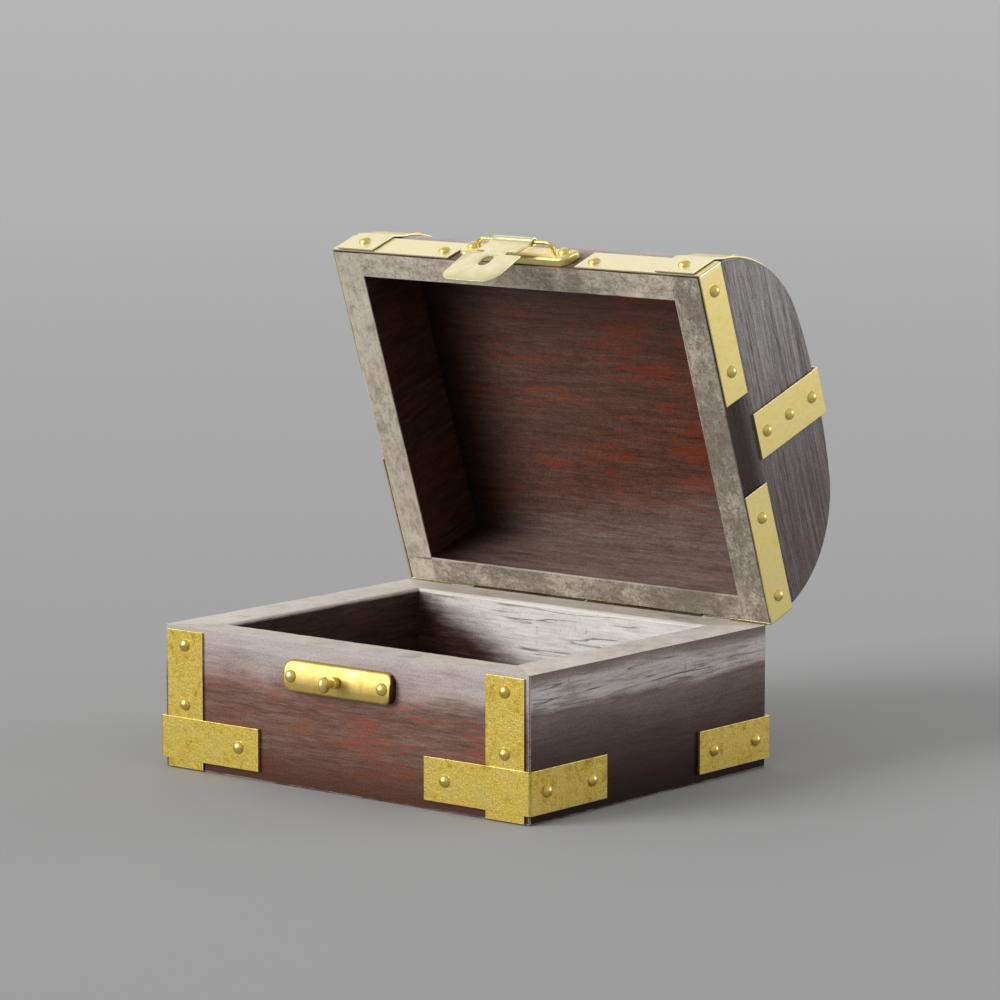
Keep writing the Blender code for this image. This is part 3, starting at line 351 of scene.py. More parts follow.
def add_piece(name, bm, finishes, body, swing=None):
    """Finished piece at the origin, riding on its body in place of the solid of its name."""
    nodes = [name]
    if swing is not None:
        bm.transform(swing)
    mesh = bpy.data.meshes.new(name)
    bm.to_mesh(mesh)
    bm.free()
    mesh.shade_smooth()
    mesh.set_sharp_from_angle(angle=SHARP_ANGLE)
    for finish in finishes:
        mesh.materials.append(finish)
    piece = bpy.data.objects.new(name, mesh)
    bpy.context.scene.collection.objects.link(piece)
    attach(piece, body)
    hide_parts(*nodes)
    flat = piece.modifiers.new("flat_faces", "WEIGHTED_NORMAL")
    flat.keep_sharp = True
    return piece


# Outside of the front and back boards: paler and greyer towards the top, with the foot painted darker near
# the floor as shade.
front_wood = stained_wood(
    "front_wood", "X", ramp("#56382c", "#715346", "#876b5e"), ("#8a4630", 0.017, 1.1, 0.75),
    ("#b8aeab", "#c8bfbc", "Z", 29.0 * MM, 48.5 * MM, 0.95), ("#52342a", 0.0, 20.0 * MM), 0.0, "#b3a6a2")
# Outside of the end boards: the soft grey rising up the board is painted sheen and painted light, standing in
# for the floor's reflection and the light growing with height; the cracked band is real film, and the
# near-black foot is painted shade.
side_wood = stained_wood(
    "side_wood", "Y", ramp("#3f2924", "#4b342d", "#58413a"), ("#5f3025", 0.01, 1.3, 0.6),
    ("#7a6c66", "#92857f", "Z", 16.0 * MM, 41.0 * MM, 0.88), ("#1d0d0a", 0.0, 29.0 * MM), 0.3, "#b3a6a2",
    band=("#b0a8a5", "#d6d0cd", 35.0 * MM, 48.5 * MM))
# Lining of the front and back boards: real pale paint, its edge lowered and slanted so that the lower left of
# the back wall stays dark, a painted shadow of the left board and painted shade low in the box; its foot is
# painted shade too.
front_lining = stained_wood(
    "front_lining", "X", ramp("#2e1a14", "#4a2f27", "#6a4d44"), ("#6f3a2b", 0.0, 0.8, 0.6),
    ("#d6d1ca", "#f5f2ee", "Z", 8.0 * MM, 30.0 * MM, 0.97), ("#4a3028", 0.0, 12.0 * MM), 0.9, "#ece8e2",
    gloss=(0.30, 0.45), slant=0.5)
# Lining of the end boards: its foot is painted shade low in the box.
side_lining = stained_wood(
    "side_lining", "Y", ramp("#281713", "#432c25", "#5c443c"), ("#5d3024", 0.01, 0.9, 0.5),
    ("#8d8581", "#b9b3ae", "Z", 44.0 * MM, 60.0 * MM, 0.6), ("#2a1915", 0.0, 12.0 * MM), 0.4, "#c9c0b7")
RIM_STOPS = (0.36, 0.47, 0.60, 0.70)
front_rim = bare_wood("front_rim", "X", ramp("#c0b6ab", "#d2c8be", "#ded6cd", "#e7e1d9", at=RIM_STOPS),
                      -0.5, 0.10, "#e2dbd0")
side_rim = bare_wood("side_rim", "Y", ramp("#cfc6bc", "#dfd7ce", "#eae3db", "#f1ece5", at=RIM_STOPS),
                     -0.5, 0.10, "#ece6dd")


def mitred_board(name, corners, way, reach, inward, outside_round, finishes):
    """One board from its outline on the ground, with the rim and inside faces in their own finish."""
    bm = bmesh.new()
    face = bm.faces.new([bm.verts.new((*corner, 0.0)) for corner in corners])
    push_face(bm, face, Z_AXIS * BASE_HEIGHT)
    corner_edges = [edge for edge in bm.edges if runs_along(edge, Z_AXIS)
                    and abs(edge.verts[0].co.x) > HALF_WIDTH - MM
                    and abs(edge.verts[0].co.y) > HALF_DEPTH - MM]

    def long_edges(top):
        found = [edge for edge in bm.edges
                 if runs_along(edge, way) and (edge.verts[0].co.z > BASE_HEIGHT / 2) == top]
        return sorted(found, key=lambda edge: edge.verts[0].co.dot(inward))

    soften(bm, long_edges(True)[-1:], RIM_ROUND, 4)
    soften(bm, long_edges(False) + corner_edges, BOARD_ROUND, 3)
    soften(bm, long_edges(True)[:1], outside_round, 3)
    nick_edges(bm, way, reach, lambda normal: min(abs(normal.x), abs(normal.y)) > 0.3)
    mark_faces(bm, Z_AXIS, inward)
    add_piece(name, bm, finishes, "base")


for place, side in SIDES:
    corners = [(-HALF_WIDTH, side * HALF_DEPTH), (HALF_WIDTH, side * HALF_DEPTH),
               (INNER_X, side * INNER_Y), (-INNER_X, side * INNER_Y)]
    edge_round = HINGE_EDGE_ROUND if side > 0 else BOARD_ROUND
    mitred_board(f"base_{place}_board", corners, X_AXIS, HALF_WIDTH, -side * Y_AXIS, edge_round,
                 [front_wood, front_rim, front_lining])
for hand, side in HANDS:
    corners = [(side * HALF_WIDTH, -HALF_DEPTH), (side * HALF_WIDTH, HALF_DEPTH),
               (side * INNER_X, INNER_Y), (side * INNER_X, -INNER_Y)]
    mitred_board(f"base_{hand}_board", corners, Y_AXIS, HALF_DEPTH, -side * X_AXIS, BOARD_ROUND,
                 [side_wood, side_rim, side_lining])

# Bottom panel: one thin board of the same stained wood, let in flush between the four boards.
# It stays dark all over, because nothing rubs or bleaches it.
PANEL_GAP = 0.3 * MM
PANEL_THICKNESS = 8.0 * MM
PANEL_ROUND = 0.4 * MM
floor_wood = stained_wood(
    "floor_wood", "X", ramp("#2c1b17", "#4a342d", "#644d45"), ("#6f3325", 0.04, 0.8, 0.6),
    ("#5d4c46", "#7d6c66", "Z", 60.0 * MM, 90.0 * MM, 0.5), ("#3a2620", -9.0 * MM, 0.0), 0.0, "#86766d")
panel_size = (2.0 * (INNER_X - PANEL_GAP), 2.0 * (INNER_Y - PANEL_GAP), PANEL_THICKNESS)
bm = block((0.0, 0.0, PANEL_THICKNESS / 2), panel_size)
soften(bm, bm.edges[:], PANEL_ROUND, 2)
add_piece("base_bottom_panel", bm, [floor_wood], "base")

# Upright straps: thin brass strip, cut square and held flat on the front and back by two
# round-headed rivets each. The face has dulled and gone mottled, and the cut edges stay bright.
SEAT_GAP = 0.2 * MM
STRAP_WIDTH = 16.0 * MM
STRAP_THICKNESS = 0.6 * MM
STRAP_CENTRE_X = HALF_WIDTH - 1.8 * MM - STRAP_WIDTH / 2
STRAP_BOTTOM = 0.5 * MM
STRAP_TOP = BASE_HEIGHT - 1.2 * MM
STRAP_RIVET_HEIGHTS = (BASE_HEIGHT - 6.2 * MM, 22.6 * MM)
SHEET_ROUND = 0.13 * MM
SHEET_CORNER = 0.6
RIVET_RADIUS = 2.2 * MM
RIVET_HEIGHT = 1.7 * MM
RIVET_SINK = 0.25 * MM
BRASS_RELIEF = 0.15 * MM
AGED_STOPS = (0.34, 0.48, 0.64)


def brass(name, body, rough, speckle, edge, closed=None, painted_highlight=None):
    """Brass with dull mottling over it; the speckle says how grainy its face is.

    A painted highlight takes the brass to a paler colour on the front of the chest, from one depth to
    another: on the lid these faces look up when it stands open.
    """
    make = Finish(name, closed)
    blotch = make.mottle(150.0, 5.0, 0.6, 0.6)
    grit = make.mottle(420.0, 4.0, 0.65)
    fine = make.mottle(1500.0, 3.0, 0.6)
    dull = 0.55 * blotch + 0.45 * grit
    colour = make.shades(dull, body)
    # Painted highlight: a paler colour on the front faces.
    if painted_highlight is not None:
        code, start, end = painted_highlight
        colour = make.over(make.fade(make.axis("Y"), start, end, 0.0, 0.9), colour, code)
    colour = make.over(make.fade(fine, 0.32, 0.72, 0.0, 0.55 * speckle), colour, body[0][1], "MULTIPLY")
    colour = make.over(make.worn() * make.fade(grit, 0.30, 0.60, 0.35, 0.9), colour, edge)
    relief = make.bump(0.5 * fine + 0.5 * grit, 0.85 * speckle, BRASS_RELIEF)
    low, high = rough
    return make.done(colour, make.fade(dull, 0.35, 0.65, high, low), Normal=relief, Metallic=1.0)


aged_brass = brass("aged_brass", ramp("#b2953c", "#dfc761", "#eeda84", at=AGED_STOPS), (0.36, 0.50), 1.0,
                   "#f2e39a")
rivet_brass = brass("rivet_brass", ramp("#d6b552", "#e8ce70", "#f2df90"), (0.27, 0.36), 0.2, "#ecdc92")


def square_sheet_edges(bm):
    """Take the sharpness off every cut edge of a sheet piece."""
    soften(bm, [edge for edge in bm.edges if edge.calc_face_angle(0.0) > SHEET_CORNER], SHEET_ROUND, 2)


def stand_on(seat, out):
    """Transform that stands a turned shape on its seat, pointing out."""
    return Matrix.Translation(seat) @ out.to_track_quat("Z", "Y").to_matrix().to_4x4()


def set_rivets(bm, seats, finish=1):
    """Round rivet heads let a little into their seats, closed underneath, in their own finish."""
    for seat, out in seats:
        foot = seat - out * RIVET_SINK
        shape = stand_on(foot, out) @ Matrix.Diagonal((RIVET_RADIUS, RIVET_RADIUS, RIVET_HEIGHT, 1.0))
        ball = bmesh.ops.create_icosphere(bm, subdivisions=4, radius=1.0, matrix=shape)["verts"]
        faces = {face for vert in ball for face in vert.link_faces}
        edges = {edge for vert in ball for edge in vert.link_edges}
        halved = bmesh.ops.bisect_plane(bm, geom=ball + list(edges) + list(faces), dist=MERGE,
                                        plane_co=foot, plane_no=out, clear_inner=True)
        bmesh.ops.edgeloop_fill(bm, edges=only(halved["geom_cut"], BMEdge))
        for face in {face for vert in ball if vert.is_valid for face in vert.link_faces}:
            face.material_index = finish


for place, side_y in SIDES:
    for hand, side_x in HANDS:
        centre_x = side_x * STRAP_CENTRE_X
        middle_y = side_y * (HALF_DEPTH + SEAT_GAP + STRAP_THICKNESS / 2)
        bm = block((centre_x, middle_y, (STRAP_BOTTOM + STRAP_TOP) / 2),
                   (STRAP_WIDTH, STRAP_THICKNESS, STRAP_TOP - STRAP_BOTTOM))
        square_sheet_edges(bm)
        outer_y = side_y * (HALF_DEPTH + SEAT_GAP + STRAP_THICKNESS)
        set_rivets(bm, [(Vector((centre_x, outer_y, height)), side_y * Y_AXIS)
                        for height in STRAP_RIVET_HEIGHTS])
        add_piece(f"base_{place}_{hand}_strap", bm, [aged_brass, rivet_brass], "base")

# Base corner brackets: heavier brass strip bent once round each upright corner, over the strap.
# The back is let out where it crosses the strap, and three rivets hold each bracket.
BASE_BRACKET = {"thickness": 1.1 * MM, "long_leg": 43.5 * MM, "side_leg": 38.8 * MM, "bottom": 3.4 * MM,
                "height": 14.6 * MM, "long_rivet": 8.9 * MM, "side_rivet": 7.9 * MM, "over_strap": True}
BASE_BRACKET_MIDDLE = BASE_BRACKET["bottom"] + BASE_BRACKET["height"] / 2
CORNER_RIVET = 7.4 * MM
BEND_STEPS = 8


def draw_to(bm, vert, *places):
    """Carry an outline on in straight lines."""
    for place in places:
        vert = bmesh.ops.extrude_vert_indiv(bm, verts=[vert])["verts"][0]
        vert.co = place
    return vert


def draw_round(bm, vert, centre, axis, turn, steps):
    """Carry an outline on round an arc."""
    turned = bmesh.ops.spin(bm, geom=[vert], cent=centre, axis=axis, angle=turn, steps=steps)
    return only(turned["geom_last"], BMVert)[0]


def push_outline(bm, first, last, way):
    """Close the outline drawn so far into a face, and push it out into a solid."""
    bm.edges.new((last, first))
    push_face(bm, bmesh.ops.edgeloop_fill(bm, edges=bm.edges[:])["faces"][0], way)


def turn_over(bm, side_x, side_y):
    """Mirror a piece to its own side of the chest."""
    bmesh.ops.scale(bm, vec=(side_x, side_y, 1.0), verts=bm.verts)
    bmesh.ops.recalc_face_normals(bm, faces=bm.faces)


def corner_bracket(side_x, side_y, sizes, long_height, side_height):
    """Bracket for one corner with its rivets, drawn for the back right corner and turned over to its own."""
    thick, bottom = sizes["thickness"], sizes["bottom"]
    seat_x, seat_y = HALF_WIDTH + SEAT_GAP, HALF_DEPTH + SEAT_GAP
    face_x, face_y = seat_x + thick, seat_y + thick
    end_x, end_y = HALF_WIDTH - sizes["long_leg"], HALF_DEPTH - sizes["side_leg"]
    bm = bmesh.new()
    first = bm.verts.new((end_x, seat_y, bottom))
    at = draw_to(bm, first, (end_x, face_y, bottom), (seat_x, face_y, bottom))
    at = draw_round(bm, at, (seat_x, seat_y, bottom), Z_AXIS, -QUARTER_TURN, BEND_STEPS)
    at = draw_to(bm, at, (face_x, end_y, bottom), (seat_x, end_y, bottom), (seat_x, seat_y, bottom))
    if sizes["over_strap"]:
        far = STRAP_CENTRE_X + STRAP_WIDTH / 2 + SEAT_GAP
        near = STRAP_CENTRE_X - STRAP_WIDTH / 2 - SEAT_GAP
        deep = seat_y + STRAP_THICKNESS + SEAT_GAP
        at = draw_to(bm, at, (far, seat_y, bottom), (far, deep, bottom),
                     (near, deep, bottom), (near, seat_y, bottom))
    push_outline(bm, first, at, Z_AXIS * sizes["height"])
    turn_over(bm, side_x, side_y)
    square_sheet_edges(bm)
    long_x = side_x * (end_x + sizes["long_rivet"])
    seats = [(Vector((long_x, side_y * face_y, long_height)), side_y * Y_AXIS)]
    for reach in (end_y + sizes["side_rivet"], HALF_DEPTH - CORNER_RIVET):
        seats.append((Vector((side_x * face_x, side_y * reach, side_height)), side_x * X_AXIS))
    set_rivets(bm, seats)
    return bm


for place, side_y in SIDES:
    for hand, side_x in HANDS:
        bm = corner_bracket(side_x, side_y, BASE_BRACKET, BASE_BRACKET_MIDDLE, BASE_BRACKET_MIDDLE)
        add_piece(f"base_{place}_{hand}_bracket", bm, [aged_brass, rivet_brass], "base")

# Catch plate: a thick cast bar with round corners and softly rounded face, polished, its end faces
# painted dark as shade and dark reflection, and held on the front board by a rivet at each end. A bore takes
# the knob's neck.
CLASP_LENGTH = 47.5 * MM
CLASP_HEIGHT = 10.8 * MM
CLASP_THICKNESS = 3.0 * MM
CLASP_CORNER = 3.5 * MM
CLASP_ROUND = 1.0 * MM
CLASP_CROWN = 0.24
CLASP_CREST = -0.40
CLASP_SLICES = range(-5, 6)
CLASP_SLICE = 0.5 * MM
CLASP_RIVET_X = CLASP_LENGTH / 2 - 3.75 * MM
CLASP_SEAT_Y = -HALF_DEPTH - SEAT_GAP
CLASP_FACE_Y = CLASP_SEAT_Y - CLASP_THICKNESS
CATCH_Z = BASE_HEIGHT - 10.9 * MM
KNOB_NECK = 1.4 * MM
KNOB_BORE = KNOB_NECK + 0.25 * MM
polished_brass = brass("polished_brass", ramp("#b89a48", "#c8ae62", "#d6c07c"), (0.38, 0.46), 0.12,
                       "#f6eab4")
# The end faces are painted dark, as shade and as the dark reflection they show.
shaded_end_brass = brass("shaded_end_brass", ramp("#3d2712", "#5e4019", "#836027"), (0.42, 0.54), 0.8,
                        "#8a6a30")
pale_brass = brass("pale_brass", ramp("#ecd074", "#f4dc88", "#f9e8a2"), (0.30, 0.38), 0.15, "#f6edc8")


def bore_plate(bm, centre_z, radius):
    """Drill a round hole right through a plate from front to back."""
    loops = []
    for way in (-1.0, 1.0):
        face = max(bm.faces, key=lambda item: (item.normal.y * way > 0.99, item.calc_area()))
        border = list(face.edges)
        level = face.calc_center_median().y
        bmesh.ops.delete(bm, geom=[face], context="FACES_ONLY")
        stand = Matrix.Translation((0.0, level, centre_z)) @ Matrix.Rotation(QUARTER_TURN, 4, "X")
        ring = bmesh.ops.create_circle(bm, cap_ends=False, segments=32, radius=radius, matrix=stand)["verts"]
        loop = list({edge for vert in ring for edge in vert.link_edges})
        bmesh.ops.triangle_fill(bm, use_beauty=True, use_dissolve=False, edges=border + loop)
        loops += loop
    bmesh.ops.bridge_loops(bm, edges=loops)
    bmesh.ops.recalc_face_normals(bm, faces=bm.faces)


def add_clasp(name, centre_z, bore, finishes, body, swing=None):
    """Bar with round corners and its two rivets, bored or not, its face crowned like a pillow."""
    middle = Vector((0.0, CLASP_SEAT_Y - CLASP_THICKNESS / 2, centre_z))
    bm = block(middle, (CLASP_LENGTH, CLASP_THICKNESS, CLASP_HEIGHT))
    soften(bm, [edge for edge in bm.edges if runs_along(edge, Y_AXIS)], CLASP_CORNER, 10)
    soften(bm, [edge for edge in bm.edges if all(vert.co.y < CLASP_FACE_Y + NEAR for vert in edge.verts)],
           CLASP_ROUND, 6)
    worn = bm.faces.layers.float["worn"]
    for face in bm.faces:
        face[worn] = 0.0
    if bore:
        bore_plate(bm, centre_z, bore)
    for step in CLASP_SLICES:
        slice_across(bm, (0.0, 0.0, centre_z + step * CLASP_SLICE), Z_AXIS)
    for vert in bm.verts:
        share = (vert.co.z - centre_z) / (CLASP_HEIGHT / 2) - CLASP_CREST
        vert.co.y = CLASP_SEAT_Y + (vert.co.y - CLASP_SEAT_Y) * (1.0 - CLASP_CROWN * share ** 2)
    bm.normal_update()
    # The end faces take the second finish, which on the catch plate is painted dark as shade and dark
    # reflection.
    for face in bm.faces:
        if abs(face.normal.x) > FACING:
            face.material_index = 1
    add_piece(name, bm, finishes, body, swing)
    for hand, side in HANDS:
        bm = bmesh.new()
        set_rivets(bm, [(Vector((side * CLASP_RIVET_X, CLASP_FACE_Y, centre_z)), -Y_AXIS)], 0)
        add_piece(f"{name}_{hand}_rivet", bm, [pale_brass], body, swing)


add_clasp("catch_plate", CATCH_Z, KNOB_BORE, [polished_brass, shaded_end_brass], "base")

# Catch knob: a small oval button on a round neck with a collar, turned in one piece and polished.
# It turns a quarter in the plate, and a flange let into the board behind keeps it there.
KNOB_WIDTH = 3.8 * MM
KNOB_LENGTH = 5.6 * MM
KNOB_DEPTH = 4.4 * MM
KNOB_OUT = 8.9 * MM
KNOB_FLARE = 1.06
KNOB_FLARE_LENGTH = 0.4 * MM
KNOB_STEPS = 12
COLLAR_RADIUS = 2.0 * MM
COLLAR_HEIGHT = 2.0 * MM
COLLAR_BOTTOM = SEAT_GAP + CLASP_THICKNESS + SEAT_GAP
COLLAR_SHOULDER = COLLAR_BOTTOM + COLLAR_HEIGHT - (COLLAR_RADIUS - KNOB_NECK)
FLANGE_RADIUS = 2.4 * MM
FLANGE_THICKNESS = 0.8 * MM
FLANGE_BACK = -SEAT_GAP - FLANGE_THICKNESS
bm = bmesh.new()
neck_out = KNOB_OUT - KNOB_DEPTH / 2 * math.sqrt(1.0 - (2.0 * KNOB_NECK / KNOB_WIDTH) ** 2)
at = draw_to(bm, bm.verts.new((0.0, 0.0, FLANGE_BACK)), (FLANGE_RADIUS, 0.0, FLANGE_BACK),
             (FLANGE_RADIUS, 0.0, -SEAT_GAP), (KNOB_NECK, 0.0, -SEAT_GAP), (KNOB_NECK, 0.0, COLLAR_BOTTOM),
             (COLLAR_RADIUS, 0.0, COLLAR_BOTTOM), (COLLAR_RADIUS, 0.0, COLLAR_SHOULDER))
at = draw_round(bm, at, (KNOB_NECK, 0.0, COLLAR_SHOULDER), Y_AXIS, -QUARTER_TURN, 6)
at = draw_to(bm, at, (KNOB_NECK, 0.0, neck_out - KNOB_FLARE_LENGTH), (KNOB_NECK * KNOB_FLARE, 0.0, neck_out))
start = math.asin((neck_out - KNOB_OUT) / (KNOB_DEPTH / 2))
for step in range(1, KNOB_STEPS + 1):
    angle = start + (QUARTER_TURN - start) * step / KNOB_STEPS
    rise = KNOB_DEPTH / 2 * math.sin(angle)
    at = draw_to(bm, at, (KNOB_WIDTH / 2 * math.cos(angle), 0.0, KNOB_OUT + rise))
bmesh.ops.spin(bm, geom=bm.verts[:] + bm.edges[:], cent=(0.0, 0.0, 0.0), axis=Z_AXIS, angle=math.tau,
               steps=40, use_merge=True)
bmesh.ops.remove_doubles(bm, verts=bm.verts, dist=2.0 * MERGE)
bmesh.ops.recalc_face_normals(bm, faces=bm.faces)
bmesh.ops.transform(bm, matrix=stand_on(Vector((0.0, -HALF_DEPTH, CATCH_Z)), -Y_AXIS), verts=bm.verts)
head = [vert for vert in bm.verts if vert.co.y < -HALF_DEPTH - neck_out + NEAR]
bmesh.ops.scale(bm, vec=(1.0, 1.0, KNOB_LENGTH / KNOB_WIDTH), verts=head,
                space=Matrix.Translation((0.0, 0.0, -CATCH_Z)))
add_piece("catch_knob", bm, [pale_brass], "knob")

# Hinges: two long brass butt hinges screwed to the back, their knuckles rolled from the leaf.
# A plain steel pin runs through each, and four slotted screws hold it.
RIM_Z = BASE_HEIGHT + 0.3 * MM
LID_BRACKET_BACK_LEG = 28.0 * MM
HINGE_INSET = 1.0 * MM
HINGE_WIDTH = HALF_WIDTH - LID_BRACKET_BACK_LEG - 1.2 * MM - HINGE_INSET
HINGE_X = HINGE_INSET + HINGE_WIDTH / 2
HINGE_AXIS = Vector((0.0, HALF_DEPTH + 1.1 * MM, BASE_HEIGHT - 1.0 * MM))
LEAF_LENGTH = HINGE_WIDTH + 1.0 * MM
LEAF_THICKNESS = 0.6 * MM
LEAF_SEAT_Y = HALF_DEPTH + SEAT_GAP
LEAF_FACE_Y = LEAF_SEAT_Y + LEAF_THICKNESS
LEAF_CORNER = 1.4 * MM
BASE_LEAF_BOTTOM = HINGE_AXIS.z - 12.0 * MM
LID_LEAF_TOP = RIM_Z + 10.0 * MM
KNUCKLE_RADIUS = 0.9 * MM
KNUCKLE_GAP = 0.3 * MM
KNUCKLE_LAP = 0.3 * MM
MIDDLE_KNUCKLE = 16.0 * MM
PIN_RADIUS = 0.4 * MM
PIN_OVERHANG = 0.6 * MM
PIN_ROUND = 0.12 * MM
SCREW_SPACING = 30.0 * MM
SCREW_LIFT = 0.1 * MM
SCREW_RADIUS = 1.5 * MM
SCREW_HEIGHT = 0.6 * MM
SCREW_ROUND = 0.2 * MM
SCREW_SLOT = 0.4 * MM
SCREW_SLOT_DEPTH = 0.25 * MM
STEEL_RELIEF = 0.03 * MM
LID_ANGLE = math.radians(70.7)
LID_SWING = (Matrix.Translation(HINGE_AXIS) @ Matrix.Rotation(-LID_ANGLE, 4, "X")
             @ Matrix.Translation(-HINGE_AXIS))
# The hinge brass is painted dark as shade, so that the hinge line between lid and base reads dark.
shaded_hinge_brass = brass("shaded_hinge_brass", ramp("#5c4a22", "#7d672f", "#97803f", at=AGED_STOPS), (0.36, 0.50), 0.7,
                    "#a58e4a")


def brushed_steel(name):
    """Drawn steel with fine marks along the pin."""
    make = Finish(name)
    drawn = make.grain("X", 200.0, 5200.0, 3.0, 0.6)
    cloud = make.mottle(420.0, 3.0, 0.5)
    body = ramp("#8f8d89", "#b3b1ad", "#cfcdc9", at=(0.34, 0.52, 0.68))
    colour = make.shades(0.6 * drawn + 0.4 * cloud, body)
    rough = make.fade(drawn, 0.3, 0.7, 0.28, 0.42)
    return make.done(colour, rough, Normal=make.bump(drawn, 0.3, STEEL_RELIEF), Metallic=1.0)


pin_steel = brushed_steel("pin_steel")


def hinge_leaf(centre_x, knuckles, far_z, sign):
    """Leaf with round outer corners and its knuckles; the sign is -1 below the axis and 1 above."""
    edge_z = HINGE_AXIS.z + sign * (KNUCKLE_RADIUS + KNUCKLE_GAP)
    bm = block((centre_x, LEAF_SEAT_Y + LEAF_THICKNESS / 2, (edge_z + far_z) / 2),
               (LEAF_LENGTH, LEAF_THICKNESS, abs(far_z - edge_z)))
    soften(bm, [edge for edge in bm.edges if runs_along(edge, Y_AXIS)
                and abs(edge.verts[0].co.z - far_z) < NEAR], LEAF_CORNER, 6)
    square_sheet_edges(bm)
    join = math.acos((HINGE_AXIS.y - LEAF_FACE_Y) / KNUCKLE_RADIUS)
    join_z = HINGE_AXIS.z + sign * KNUCKLE_RADIUS * math.sin(join)
    lap_z = edge_z + sign * KNUCKLE_LAP
    for start, end in knuckles:
        roll = bmesh.new()
        x = centre_x + start
        first = roll.verts.new((x, LEAF_SEAT_Y, lap_z))
        at = draw_to(roll, first, (x, LEAF_FACE_Y, lap_z), (x, LEAF_FACE_Y, join_z))
        at = draw_round(roll, at, (x, HINGE_AXIS.y, HINGE_AXIS.z), X_AXIS, -sign * (math.tau - join), 28)
        push_outline(roll, first, at, X_AXIS * (end - start))
        square_sheet_edges(roll)
        scratch = bpy.data.meshes.new("knuckle")
        roll.to_mesh(scratch)
        roll.free()
        bm.from_mesh(scratch)
        bpy.data.meshes.remove(scratch)
    return bm


def slotted_screw(seat):
    """Flat-headed screw with a straight slot cut across its head, each turned its own way."""
    bm = bmesh.new()
    disc = bmesh.ops.create_circle(bm, cap_ends=True, segments=32, radius=SCREW_RADIUS)["verts"]
    push_face(bm, disc[0].link_faces[0], Z_AXIS * SCREW_HEIGHT)
    soften(bm, [edge for edge in bm.edges if all(vert.co.z > SCREW_HEIGHT / 2 for vert in edge.verts)],
           SCREW_ROUND, 3)
    for side in (-1.0, 1.0):
        slice_across(bm, (side * SCREW_SLOT / 2, 0.0, 0.0), X_AXIS)
    floor = [face for face in bm.faces if face.normal.z > 0.5
             and abs(face.calc_center_median().x) < SCREW_SLOT / 2]
    sunk = bmesh.ops.extrude_face_region(bm, geom=floor)["geom"]
    bmesh.ops.delete(bm, geom=floor, context="FACES")
    bmesh.ops.translate(bm, verts=only(sunk, BMVert), vec=-Z_AXIS * SCREW_SLOT_DEPTH)
    turn = Matrix.Rotation(noise.noise(seat * 900.0) * 2.0, 4, "Z")
    bm.transform(stand_on(seat, Y_AXIS) @ turn)
    bmesh.ops.recalc_face_normals(bm, faces=bm.faces)
    return bm


half = LEAF_LENGTH / 2
gap = MIDDLE_KNUCKLE / 2 + KNUCKLE_GAP
LEAVES = (("base", [(-half, -gap), (gap, half)], BASE_LEAF_BOTTOM, -1, HINGE_AXIS.z, None),
          ("lid", [(-MIDDLE_KNUCKLE / 2, MIDDLE_KNUCKLE / 2)], LID_LEAF_TOP, 1, RIM_Z, LID_SWING))
for hand, side in HANDS:
    centre = side * HINGE_X
    for part, knuckles, far_z, sign, near_z, swing in LEAVES:
        bm = hinge_leaf(centre, knuckles, far_z, sign)
        add_piece(f"hinge_{hand}_{part}_leaf", bm, [shaded_hinge_brass], part, swing)
        for end, way in (("inner", -side), ("outer", side)):
            screw_x = centre + way * SCREW_SPACING / 2
            bm = slotted_screw(Vector((screw_x, LEAF_FACE_Y + SCREW_LIFT, (far_z + near_z) / 2)))
            add_piece(f"hinge_{hand}_{part}_{end}_screw", bm, [rivet_brass], part, swing)
    bm = bmesh.new()
    start = HINGE_AXIS + X_AXIS * (centre - HINGE_WIDTH / 2 - PIN_OVERHANG)
    disc = bmesh.ops.create_circle(bm, cap_ends=True, segments=20, radius=PIN_RADIUS,
                                   matrix=stand_on(start, X_AXIS))["verts"]
    push_face(bm, disc[0].link_faces[0], X_AXIS * (HINGE_WIDTH + 2.0 * PIN_OVERHANG))
    soften(bm, [edge for edge in bm.edges if not runs_along(edge, X_AXIS)], PIN_ROUND, 3)
    add_piece(f"hinge_{hand}_pin", bm, [pin_steel], "base")

# Lid ends: two flat boards sawn to the arched outline of the lid, the grain running front to back.
# They are stained dark outside, and their lower edges are the bare ends of the lid's rim.
LID_SIDE_THICKNESS = 11.6 * MM
LID_FRONT_THICKNESS = 9.0 * MM
LID_WALL = 8.6 * MM
HAUNCH_RADIUS = 40.5 * MM
CROWN_RADIUS = 206.0 * MM
HAUNCH_INSET = HALF_DEPTH - HAUNCH_RADIUS
HAUNCH_TURN = math.acos(HAUNCH_INSET / (CROWN_RADIUS - HAUNCH_RADIUS))
WALL_TOP = RIM_Z + LID_WALL
CROWN_Z = WALL_TOP - (CROWN_RADIUS - HAUNCH_RADIUS) * math.sin(HAUNCH_TURN)
HAUNCH_STEPS = 22
CROWN_STEPS = 10
LID_INNER_X = HALF_WIDTH - LID_SIDE_THICKNESS
LID_INNER_Y = HALF_DEPTH - LID_FRONT_THICKNESS
shut = (HINGE_AXIS - Matrix.Rotation(LID_ANGLE, 4, "X") @ HINGE_AXIS, (LID_ANGLE, 0.0, 0.0))
